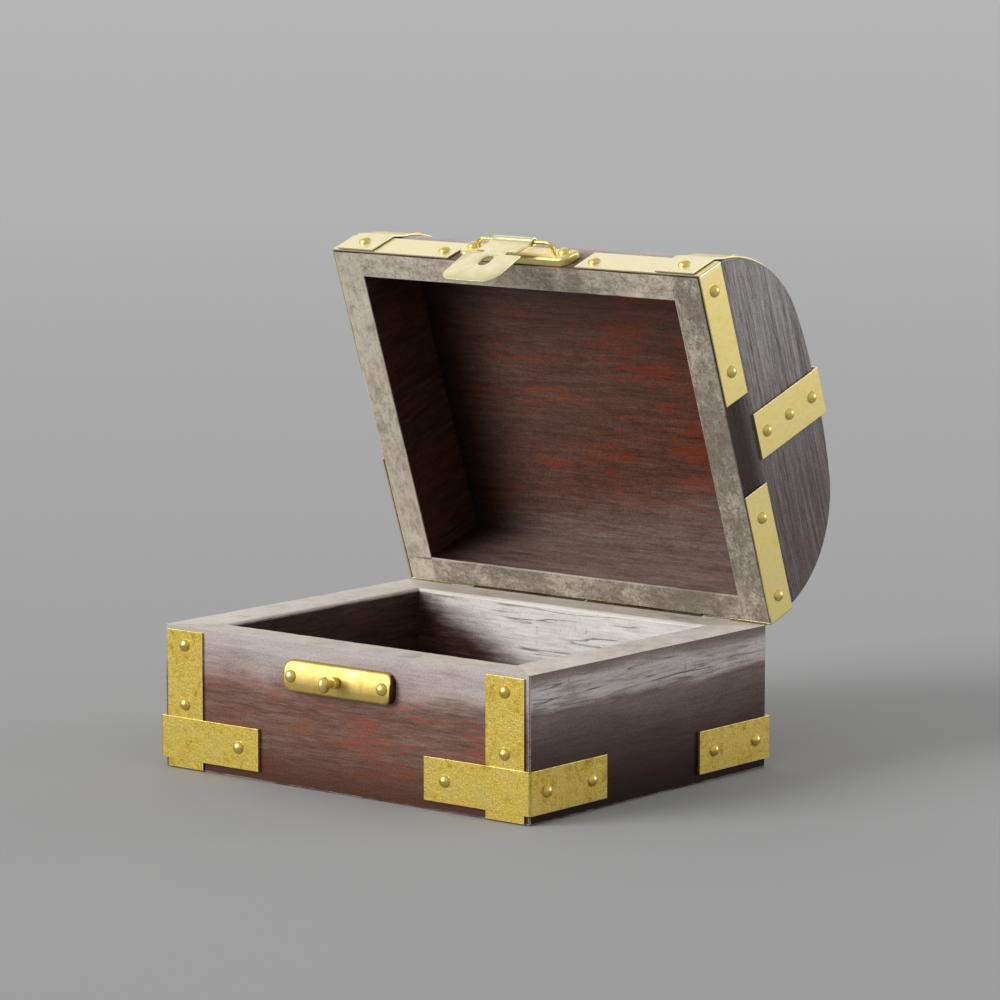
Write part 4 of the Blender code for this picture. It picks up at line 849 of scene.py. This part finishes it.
# Outside of the lid ends: the pale grey towards the front is painted light, brighter where the open lid
# stands higher, and the dark foot along the rim is painted shade between the brackets and under the strap.
end_wood = stained_wood(
    "end_wood", "Y", ramp("#453a39", "#6d6160", "#8d8281", at=(0.36, 0.50, 0.62)),
    ("#6a4a44", -0.03, 1.0, 0.5), ("#615c5c", "#d8d3d1", "Y", 40.0 * MM, -50.0 * MM, 0.90),
    ("#3a2d2b", 56.0 * MM, 68.0 * MM), 1.0, "#8f8480", shut, streaks=(16.0, 700.0))
end_lining = stained_wood(
    "end_lining", "Z", ramp("#22130f", "#3d261f", "#563d35"), ("#4f281d", 0.03, 0.9, 0.45),
    ("#3f2e28", "#59463e", "Z", 120.0 * MM, 160.0 * MM, 0.3), ("#2a1814", 40.0 * MM, 48.0 * MM), 0.0,
    "#8a7a6e", shut)
LID_RIM = ramp("#b0a594", "#c3b9a8", "#d0c7b7", "#dad2c4", at=(0.36, 0.50, 0.64, 0.74))
end_rims = {-1: bare_wood("left_end_rim", "Y", LID_RIM, 0.05, 0.25, "#d6cdbf", shut),
            1: bare_wood("right_end_rim", "Y", LID_RIM, 0.85, 0.60, "#b3aa9c", shut)}


def arch(bm, vert, x, lift, back=False):
    """Carry an outline over the lid from the front wall to the back, or back again."""
    start = math.asin(max(0.0, min(1.0, (vert.co.z - WALL_TOP) / (HAUNCH_RADIUS + lift))))
    stages = [((x, -HAUNCH_INSET, WALL_TOP), HAUNCH_TURN - start, HAUNCH_STEPS),
              ((x, 0.0, CROWN_Z), math.pi - 2.0 * HAUNCH_TURN, CROWN_STEPS),
              ((x, HAUNCH_INSET, WALL_TOP), HAUNCH_TURN - start, HAUNCH_STEPS)]
    for centre, turn, count in (reversed(stages) if back else stages):
        vert = draw_round(bm, vert, centre, X_AXIS, turn if back else -turn, count)
    return vert


for hand, side in HANDS:
    bm = bmesh.new()
    inner = side * LID_INNER_X
    first = bm.verts.new((inner, -HALF_DEPTH, RIM_Z))
    at = arch(bm, draw_to(bm, first, (inner, -HALF_DEPTH, WALL_TOP)), inner, 0.0)
    at = draw_to(bm, at, (inner, HALF_DEPTH, RIM_Z))
    push_outline(bm, first, at, X_AXIS * side * LID_SIDE_THICKNESS)
    for level in (-LID_INNER_Y, LID_INNER_Y):
        slice_across(bm, (0.0, level, 0.0), Y_AXIS)
    outside = [edge for edge in bm.edges if all(abs(vert.co.x) > HALF_WIDTH - NEAR for vert in edge.verts)
               and edge.calc_face_angle(0.0) > SHEET_CORNER]
    rim_edge = [edge for edge in bm.edges if runs_along(edge, Y_AXIS) and edge.verts[0].co.z < RIM_Z + NEAR
                and all(abs(vert.co.x) < LID_INNER_X + NEAR and abs(vert.co.y) < LID_INNER_Y + NEAR
                        for vert in edge.verts)]
    soften(bm, outside + rim_edge, BOARD_ROUND, 3)
    nick_edges(bm, Y_AXIS, HALF_DEPTH, lambda normal: normal.x * side < -0.9)
    mark_faces(bm, -Z_AXIS, -side * X_AXIS)
    add_piece(f"lid_{hand}_end", bm, [end_wood, end_rims[side], end_lining], "lid", LID_SWING)

# Lid rails: two straight rails glued between the ends, front and back, that carry the dome.
# Their lower faces are the bare rim, and inside they are stained red-brown like the dome.
# Outside of the dome and rails: the pale grey over the dome is painted sheen, standing in for its reflection
# of the light, and the darker foot along the rim is painted shade.
dome_wood = stained_wood(
    "dome_wood", "X", ramp("#4a3834", "#6c5954", "#8c7d78"), ("#74382b", 0.02, 1.0, 0.7),
    ("#b0a8a5", "#dad4d1", "Z", 56.0 * MM, 74.0 * MM, 0.92), ("#4a3833", 46.0 * MM, 52.0 * MM), 0.5,
    "#968a86", shut)
# Inside of the lid: the grey band low on the ceiling and over the hinge wall is a painted reflection of the
# base's rim, the shade is a painted shadow of the left end that darkens the left, and the foot along the rim
# is painted shade.
dome_lining = stained_wood(
    "dome_lining", "X", ramp("#4e3127", "#614236", "#745549"), ("#8a3a20", 0.0, 1.0, 0.70),
    ("#5c4940", "#96837b", "Y", 30.0 * MM, 54.0 * MM, 0.80), ("#4a2c22", 46.0 * MM, 52.0 * MM), 0.0,
    "#a3958a", shut, streaks=(40.0, 520.0), gloss=(0.26, 0.38), slant=0.2,
    shade=("#120a08", -70.0 * MM, -26.0 * MM, 0.92), lean=0.7)
rail_rims = {-1: bare_wood("front_rail_rim", "X", LID_RIM, 0.50, 0.45, "#c5bcae", shut),
             1: bare_wood("back_rail_rim", "X", LID_RIM, 0.80, 0.50, "#b9b0a2", shut)}
for place, side in SIDES:
    bm = block((0.0, side * (HALF_DEPTH - LID_FRONT_THICKNESS / 2), RIM_Z + LID_WALL / 2),
               (2.0 * LID_INNER_X, LID_FRONT_THICKNESS, LID_WALL))
    rim_edges = [edge for edge in bm.edges
                 if runs_along(edge, X_AXIS) and edge.verts[0].co.z < RIM_Z + NEAR]
    inside, outside = sorted(rim_edges, key=lambda edge: edge.verts[0].co.y * side)
    soften(bm, [inside], BOARD_ROUND, 3)
    soften(bm, [outside], HINGE_EDGE_ROUND, 2)
    nick_edges(bm, X_AXIS, LID_INNER_X, lambda normal: abs(normal.x) > 0.9)
    mark_faces(bm, -Z_AXIS, -side * Y_AXIS)
    add_piece(f"lid_{place}_rail", bm, [dome_wood, rail_rims[side], dome_lining], "lid",
              LID_SWING)

# Dome: one thick block of wood, shaped to the arch outside and hollowed square underneath, glued
# on the rails between the ends. It is dark outside under a pale painted sheen, and red-brown and
# still glossy inside, with a painted shadow towards the left and a painted reflection low down.
HOLLOW_Z = RIM_Z + 27.5 * MM
bm = bmesh.new()
first = bm.verts.new((-LID_INNER_X, -HALF_DEPTH, WALL_TOP))
at = draw_to(bm, arch(bm, first, -LID_INNER_X, 0.0), (-LID_INNER_X, LID_INNER_Y, WALL_TOP),
             (-LID_INNER_X, LID_INNER_Y, HOLLOW_Z), (-LID_INNER_X, -LID_INNER_Y, HOLLOW_Z),
             (-LID_INNER_X, -LID_INNER_Y, WALL_TOP))
push_outline(bm, first, at, X_AXIS * 2.0 * LID_INNER_X)
bm.faces.layers.float.new("worn")
for face in bm.faces:
    centre = face.calc_center_median()
    below = WALL_TOP + NEAR < centre.z < HOLLOW_Z + NEAR
    if below and abs(centre.y) < LID_INNER_Y + NEAR and abs(face.normal.x) < 0.5:
        face.material_index = 1
add_piece("lid_dome_panel", bm, [dome_wood, dome_lining], "lid", LID_SWING)

# Lid corner brackets: thin brass strip bent round the corners of the lid's wall, lighter than
# the base's. The front legs stop short of the hasp plate, and the back legs short of the hinges.
LID_BRACKET = {"thickness": 0.6 * MM, "long_leg": HALF_WIDTH - CLASP_LENGTH / 2 - 4.05 * MM,
               "side_leg": 47.2 * MM, "bottom": RIM_Z + 0.6 * MM, "height": 12.2 * MM,
               "long_rivet": 5.2 * MM, "side_rivet": 10.4 * MM, "over_strap": False}
LID_BRACKET_TOP = LID_BRACKET["bottom"] + LID_BRACKET["height"]
LID_BRACKET_MIDDLE = LID_BRACKET["bottom"] + LID_BRACKET["height"] / 2
LID_BACK_BOTTOM = RIM_Z + 0.15 * MM
LID_BACK_BRACKET = {**LID_BRACKET, "long_leg": LID_BRACKET_BACK_LEG, "bottom": LID_BACK_BOTTOM,
                    "height": LID_BRACKET["height"] + (LID_BRACKET["bottom"] - LID_BACK_BOTTOM)}
LID_FRONT_RIVET_Z = RIM_Z + 5.4 * MM
PALE_STOPS = (0.32, 0.48, 0.64)
# Its front faces carry a painted highlight, paler where they look up with the lid open.
light_brass = brass("light_brass", ramp("#e0cb74", "#ecda8e", "#f2e2a0", at=PALE_STOPS), (0.32, 0.40), 0.3,
                    "#f6edc8", shut, ("#f0e6bd", -62.0 * MM, -64.4 * MM))
for place, side_y, sizes in (("front", -1, LID_BRACKET), ("back", 1, LID_BACK_BRACKET)):
    for hand, side_x in HANDS:
        bm = corner_bracket(side_x, side_y, sizes, LID_FRONT_RIVET_Z, LID_BRACKET_MIDDLE)
        add_piece(f"lid_{place}_{hand}_bracket", bm, [light_brass, pale_brass], "lid", LID_SWING)

# Dome straps: long brass strips that run from the front rim over the dome to the back rim.
# They lie over the corner brackets at each end, settle onto the wood above, and take four rivets.
DOME_STRAP_SEAT = SEAT_GAP + LID_BRACKET["thickness"] + SEAT_GAP
DOME_STRAP_BOTTOM = RIM_Z + 0.6 * MM
DOME_STRAP_RAMP = LID_BRACKET_TOP + 0.4 * MM
DOME_STRAP_LIFT = 0.1 * MM
DOME_STRAP_TOP = DOME_STRAP_LIFT + STRAP_THICKNESS
SETTLE_TURN = math.radians(14.0)
DOME_RIVET_TURN = math.radians(38.0)
DOME_WALL_RIVET_Z = RIM_Z + 6.8 * MM


def haunch_point(x, turn, lift):
    """Point over the front haunch at a turn up from the wall."""
    reach = HAUNCH_RADIUS + lift
    return Vector((x, -HAUNCH_INSET - reach * math.cos(turn), WALL_TOP + reach * math.sin(turn)))


def mirrored(place):
    return Vector((place.x, -place.y, place.z))


for hand, side in HANDS:
    near = side * (STRAP_CENTRE_X - STRAP_WIDTH / 2)
    wall = HALF_DEPTH + DOME_STRAP_SEAT
    outer = wall + STRAP_THICKNESS
    settle = haunch_point(near, SETTLE_TURN, DOME_STRAP_LIFT)
    outer_settle = haunch_point(near, SETTLE_TURN, DOME_STRAP_TOP)
    bm = bmesh.new()
    first = bm.verts.new((near, -wall, DOME_STRAP_BOTTOM))
    at = arch(bm, draw_to(bm, first, (near, -wall, DOME_STRAP_RAMP), settle), near, DOME_STRAP_LIFT)
    at = draw_to(bm, at, (near, wall, DOME_STRAP_RAMP), (near, wall, DOME_STRAP_BOTTOM),
                 (near, outer, DOME_STRAP_BOTTOM), (near, outer, DOME_STRAP_RAMP), mirrored(outer_settle))
    at = arch(bm, at, near, DOME_STRAP_TOP, back=True)
    at = draw_to(bm, at, (near, -outer, DOME_STRAP_RAMP), (near, -outer, DOME_STRAP_BOTTOM))
    push_outline(bm, first, at, X_AXIS * side * STRAP_WIDTH)
    square_sheet_edges(bm)
    low_rivet = Vector((side * STRAP_CENTRE_X, -outer, DOME_WALL_RIVET_Z))
    high_rivet = haunch_point(side * STRAP_CENTRE_X, DOME_RIVET_TURN, DOME_STRAP_TOP)
    lean = Vector((0.0, -math.cos(DOME_RIVET_TURN), math.sin(DOME_RIVET_TURN)))
    set_rivets(bm, [(low_rivet, -Y_AXIS), (mirrored(low_rivet), Y_AXIS),
                    (high_rivet, lean), (mirrored(high_rivet), mirrored(lean))])
    add_piece(f"lid_{hand}_dome_strap", bm, [light_brass, pale_brass], "lid", LID_SWING)

# End straps: stouter brass strip that runs up the middle of each lid end and folds over the
# crown onto the dome strap. Three rivets hold it on the end, and one on the fold.
END_STRAP_WIDTH = 16.8 * MM
END_STRAP_THICKNESS = 0.8 * MM
END_STRAP_BOTTOM = RIM_Z + 13.2 * MM
END_STRAP_FOLD = 18.0 * MM
END_STRAP_SEAT_X = HALF_WIDTH + SEAT_GAP
END_STRAP_FACE_X = END_STRAP_SEAT_X + END_STRAP_THICKNESS
END_RIVET_HEIGHTS = (18.6 * MM, 32.1 * MM, 45.7 * MM)
FOLD_Z = CROWN_Z + CROWN_RADIUS + SEAT_GAP + STRAP_THICKNESS + SEAT_GAP
FOLD_TOP = FOLD_Z + END_STRAP_THICKNESS
for hand, side in HANDS:
    fold_x = HALF_WIDTH - END_STRAP_FOLD
    edge_y = -END_STRAP_WIDTH / 2
    bm = bmesh.new()
    first = bm.verts.new((END_STRAP_SEAT_X, edge_y, END_STRAP_BOTTOM))
    at = draw_to(bm, first, (END_STRAP_FACE_X, edge_y, END_STRAP_BOTTOM), (END_STRAP_FACE_X, edge_y, FOLD_Z))
    at = draw_round(bm, at, (END_STRAP_SEAT_X, edge_y, FOLD_Z), Y_AXIS, -QUARTER_TURN, BEND_STEPS)
    at = draw_to(bm, at, (fold_x, edge_y, FOLD_TOP), (fold_x, edge_y, FOLD_Z),
                 (END_STRAP_SEAT_X, edge_y, FOLD_Z))
    push_outline(bm, first, at, Y_AXIS * END_STRAP_WIDTH)
    turn_over(bm, side, 1.0)
    square_sheet_edges(bm)
    seats = [(Vector((side * END_STRAP_FACE_X, 0.0, RIM_Z + height)), side * X_AXIS)
             for height in END_RIVET_HEIGHTS]
    seats.append((Vector((side * STRAP_CENTRE_X, 0.0, FOLD_TOP)), Z_AXIS))
    set_rivets(bm, seats)
    add_piece(f"lid_{hand}_end_strap", bm, [light_brass, pale_brass], "lid", LID_SWING)

# Hasp plate: a second cast bar like the catch plate, bright all over, riveted to the front of the
# lid just above the rim. The feet of the wire bail are let into its face.
HASP_Z = RIM_Z + 6.3 * MM
hasp_brass = brass("hasp_brass", ramp("#ecd88e", "#f2e19c", "#f6e9ac"), (0.34, 0.42), 0.12, "#f6edc8")
add_clasp("hasp_plate", HASP_Z, 0.0, [hasp_brass, hasp_brass], "lid", LID_SWING)

# Bail: a length of brass wire bent square at both ends, its feet set into the hasp plate.
# It stands clear of the plate, so that the flap can hang and swing on it.
WIRE_RADIUS = 0.7 * MM
WIRE_BEND = 2.4 * MM
WIRE_OUT = 6.7 * MM
WIRE_AXIS = Vector((0.0, -HALF_DEPTH - WIRE_OUT, RIM_Z + 5.2 * MM))
BAIL_WIDTH = 32.6 * MM
FOOT_DEPTH = 2.2 * MM
FOOT_Y = CLASP_FACE_Y + FOOT_DEPTH


def run_tube(bm, edges, way):
    """Carry an open tube or sheet straight on."""
    run = bmesh.ops.extrude_edge_only(bm, edges=edges)["geom"]
    bmesh.ops.translate(bm, verts=only(run, BMVert), vec=way)
    return only(run, BMEdge)


def bend_tube(bm, edges, centre):
    """Carry an open tube on round a square bend."""
    verts = list({vert for edge in edges for vert in edge.verts})
    bent = bmesh.ops.spin(bm, geom=verts + edges, cent=centre, axis=Z_AXIS, angle=QUARTER_TURN, steps=10)
    return only(bent["geom_last"], BMEdge)


bm = bmesh.new()
bend_x = BAIL_WIDTH / 2 - WIRE_BEND
bend_y = WIRE_AXIS.y + WIRE_BEND
left_foot = Vector((-BAIL_WIDTH / 2, FOOT_Y, WIRE_AXIS.z))
ring = bmesh.ops.create_circle(bm, cap_ends=False, segments=20, radius=WIRE_RADIUS,
                               matrix=stand_on(left_foot, -Y_AXIS))["verts"]
edges = list({edge for vert in ring for edge in vert.link_edges})
edges = run_tube(bm, edges, Y_AXIS * (bend_y - FOOT_Y))
edges = bend_tube(bm, edges, (-bend_x, bend_y, WIRE_AXIS.z))
edges = run_tube(bm, edges, X_AXIS * 2.0 * bend_x)
edges = bend_tube(bm, edges, (bend_x, bend_y, WIRE_AXIS.z))
run_tube(bm, edges, Y_AXIS * (FOOT_Y - bend_y))
bmesh.ops.holes_fill(bm, edges=bm.edges[:], sides=0)
bmesh.ops.recalc_face_normals(bm, faces=bm.faces)
add_piece("hasp_bail", bm, [rivet_brass], "lid", LID_SWING)

# Flap: one sheet of brass rolled round the bail at the top, waisted below the roll and cut to a
# round-cornered tongue. Its oval slot goes over the knob when the chest is shut.
FLAP_SHEET = 0.7 * MM
ROLL_RADIUS = WIRE_RADIUS + 0.15 * MM + FLAP_SHEET / 2
ROLL_START = math.radians(250.0)
ROLL_LEAVE = math.radians(45.0)
NECK_OUT = 6.8 * MM
NECK_FOLD_Z = RIM_Z - 5.8 * MM
NOTCH_TOP_Z = RIM_Z - 4.6 * MM
NOTCH_BOTTOM_Z = RIM_Z - 6.9 * MM
TIP_Z = RIM_Z - 24.0 * MM
TONGUE_TILT = math.radians(7.5)
TONGUE_WIDTH = 24.0 * MM
TONGUE_CORNER = 5.2 * MM
FLAP_STRAP_WIDTH = 17.6 * MM
FLAP_NECK_WIDTH = 10.0 * MM
SLOT_CLEARANCE = 0.35 * MM
SLOT_RADIUS = KNOB_WIDTH / 2 + SLOT_CLEARANCE
SLOT_REACH = KNOB_LENGTH / 2 + SLOT_CLEARANCE - SLOT_RADIUS
SLOT_STEPS = 14
flap_brass = brass("flap_brass", ramp("#e8dcaa", "#ede2b6", "#f1e8c2", at=PALE_STOPS), (0.32, 0.40), 0.15,
                   "#f6edc8")


def tongue_point(x, z):
    """Point of the tongue's middle plane, which tilts in below the fold."""
    return Vector((x, -HALF_DEPTH - NECK_OUT + (NECK_FOLD_Z - z) * math.tan(TONGUE_TILT), z))


def at_height(vert, z):
    return abs(vert.co.z - z) < 10.0 * MERGE


bm = bmesh.new()
turn = math.pi - ROLL_START
lift = Vector((0.0, math.cos(turn), math.sin(turn))) * ROLL_RADIUS
at = bm.verts.new(WIRE_AXIS + lift - X_AXIS * FLAP_STRAP_WIDTH / 2)
edge_x = at.co.x
at = draw_round(bm, at, (edge_x, WIRE_AXIS.y, WIRE_AXIS.z), X_AXIS, ROLL_START + ROLL_LEAVE, 36)
bend = (ROLL_RADIUS * math.cos(ROLL_LEAVE) + WIRE_OUT - NECK_OUT) / (1.0 - math.cos(ROLL_LEAVE))
bend_centre = (edge_x, WIRE_AXIS.y - (ROLL_RADIUS + bend) * math.cos(ROLL_LEAVE),
               WIRE_AXIS.z - (ROLL_RADIUS + bend) * math.sin(ROLL_LEAVE))
at = draw_round(bm, at, bend_centre, X_AXIS, -ROLL_LEAVE, 8)
draw_to(bm, at, (edge_x, -HALF_DEPTH - NECK_OUT, NOTCH_TOP_Z))
edges = bm.edges[:]
shoulder = (FLAP_STRAP_WIDTH - FLAP_NECK_WIDTH) / 2
for width in (shoulder, FLAP_NECK_WIDTH, shoulder):
    edges = [edge for edge in run_tube(bm, edges, X_AXIS * width) if not runs_along(edge, X_AXIS)]
neck = [edge for edge in bm.edges if all(at_height(vert, NOTCH_TOP_Z) for vert in edge.verts)
        and abs(edge.verts[0].co.x + edge.verts[1].co.x) < NEAR]
for level in (NECK_FOLD_Z, NOTCH_BOTTOM_Z):
    run = bmesh.ops.extrude_edge_only(bm, edges=neck)["geom"]
    for vert in only(run, BMVert):
        vert.co = tongue_point(vert.co.x, level)
    neck = [edge for edge in only(run, BMEdge) if all(at_height(vert, level) for vert in edge.verts)]
left, right = sorted(neck[0].verts, key=lambda vert: vert.co.x)
half = TONGUE_WIDTH / 2
border = [left]
for x, z in ((-half, NOTCH_BOTTOM_Z), (-half, TIP_Z), (half, TIP_Z), (half, NOTCH_BOTTOM_Z)):
    border.append(draw_to(bm, border[-1], tongue_point(x, z)))
bm.faces.new(border + [right])
tip = [vert for vert in border if at_height(vert, TIP_Z)]
bmesh.ops.bevel(bm, geom=tip, offset=TONGUE_CORNER, offset_type="OFFSET", segments=10, profile=0.5,
                affect="VERTICES", material=-1, clamp_overlap=False)
tongue = max(bm.faces, key=lambda item: item.calc_area())
border = list(tongue.edges)
bmesh.ops.delete(bm, geom=[tongue], context="FACES_ONLY")
first = bm.verts.new(tongue_point(SLOT_RADIUS, CATCH_Z + SLOT_REACH))
square_to = Vector((0.0, -math.cos(TONGUE_TILT), -math.sin(TONGUE_TILT)))
at = draw_round(bm, first, tongue_point(0.0, CATCH_Z + SLOT_REACH), square_to, math.pi, SLOT_STEPS)
at = draw_to(bm, at, tongue_point(-SLOT_RADIUS, CATCH_Z - SLOT_REACH))
at = draw_round(bm, at, tongue_point(0.0, CATCH_Z - SLOT_REACH), square_to, math.pi, SLOT_STEPS)
bm.edges.new((at, first))
slot_edges = [edge for edge in bm.edges if edge.is_wire and edge not in border]
bmesh.ops.triangle_fill(bm, use_beauty=True, use_dissolve=False, edges=border + slot_edges)
bmesh.ops.recalc_face_normals(bm, faces=bm.faces)
flap = add_piece("hasp_flap", bm, [flap_brass], "flap", LID_SWING)
sheet = flap.modifiers.new("sheet", "SOLIDIFY")
sheet.thickness = FLAP_SHEET
sheet.offset = 0.0
sheet.use_even_offset = True
cut_edge = flap.modifiers.new("cut_edge", "BEVEL")
cut_edge.width = SHEET_ROUND
cut_edge.segments = 2
cut_edge.limit_method = "ANGLE"

# Floor: one wide sheet of plain grey studio paper, painted a little paler towards its far side as
# painted light, lying flat under the chest and reaching past everything the camera sees.
FLOOR_RADIUS = 14.0
FLOOR_TURN = math.radians(-39.3)


def studio_paper(name):
    """Matt paper with the faintest tooth, painted paler towards its far side as painted light."""
    make = Finish(name)
    far = make.axis("Y", make.mapped(Rotation=(0.0, 0.0, FLOOR_TURN)))
    tooth = make.mottle(900.0, 2.0, 0.5)
    # Painted light: the colour grows paler towards the far side.
    colour = make.shades(0.125 * far + 0.05, ramp("#a6a6a6", "#bbbbbb", "#bfbfbf", at=(0.0, 0.36, 1.0)))
    colour = make.over(make.fade(tooth, 0.3, 0.7, 0.0, 0.05), colour, "#a3a3a2")
    return make.done(colour, make.fade(tooth, 0.3, 0.7, 0.90, 0.96), Specular_IOR_Level=0.0)


bm = bmesh.new()
bmesh.ops.create_circle(bm, cap_ends=True, segments=128, radius=FLOOR_RADIUS)
floor_mesh = bpy.data.meshes.new("studio_floor")
bm.to_mesh(floor_mesh)
bm.free()
floor_mesh.materials.append(studio_paper("studio_paper"))
studio_floor = bpy.data.objects.new("studio_floor", floor_mesh)
bpy.context.scene.collection.objects.link(studio_floor)

# Lights: wide soft lights a long way off, so that the floor is lit evenly. The key is on the left
# and a little in front, with a low fill in front, one overhead and behind, and one on the right.
# Each has the way to it, how wide it looks in degrees, and how bright it looks.
LIGHTS = {"key_light": ((-0.45, -0.80, 0.40), 34.0, 7.7),
          "front_fill": ((-0.60, -0.78, 0.16), 30.0, 1.2),
          "top_light": ((-0.63, 0.51, 0.59), 44.0, 0.55),
          "side_fill": ((0.63, 0.76, 0.17), 21.0, 4.8)}
LIGHT_DISTANCE = 3.0
for name, (toward, spread, radiance) in LIGHTS.items():
    lamp = bpy.data.lights.new(name, "SUN")
    lamp.angle = math.radians(spread)
    lamp.energy = radiance * math.pi * math.sin(lamp.angle / 2) ** 2
    stand = bpy.data.objects.new(name, lamp)
    stand.location = Vector(toward) * LIGHT_DISTANCE
    stand.rotation_euler = (-Vector(toward)).to_track_quat("-Z", "Y").to_euler()
    bpy.context.scene.collection.objects.link(stand)
room = bpy.data.worlds.new("grey_room")
room.use_nodes = True
room.node_tree.nodes["Background"].inputs["Color"].default_value = tone("#c4c4c4")
room.node_tree.nodes["Background"].inputs["Strength"].default_value = 1.0
bpy.context.scene.world = room

# Camera: a long lens a little above the chest and round to its right, looking slightly down.
# Its place, way and angle of view come from fitting it to the photograph.
CAMERA_PLACE = (1.0354, -1.2449, 0.3192)
CAMERA_WAY = Vector((-0.62769, 0.76596, -0.13895))
VIEW_ANGLE = math.radians(11.855)
camera = bpy.data.cameras.new("camera")
camera.sensor_width = 36.0
camera.lens = camera.sensor_width / 2 / math.tan(VIEW_ANGLE / 2)
camera.clip_end = 60.0
camera_stand = bpy.data.objects.new("camera", camera)
camera_stand.location = CAMERA_PLACE
camera_stand.rotation_euler = CAMERA_WAY.to_track_quat("-Z", "Y").to_euler()
bpy.context.scene.collection.objects.link(camera_stand)
bpy.context.scene.camera = camera_stand
bpy.context.scene.view_settings.view_transform = "Standard"
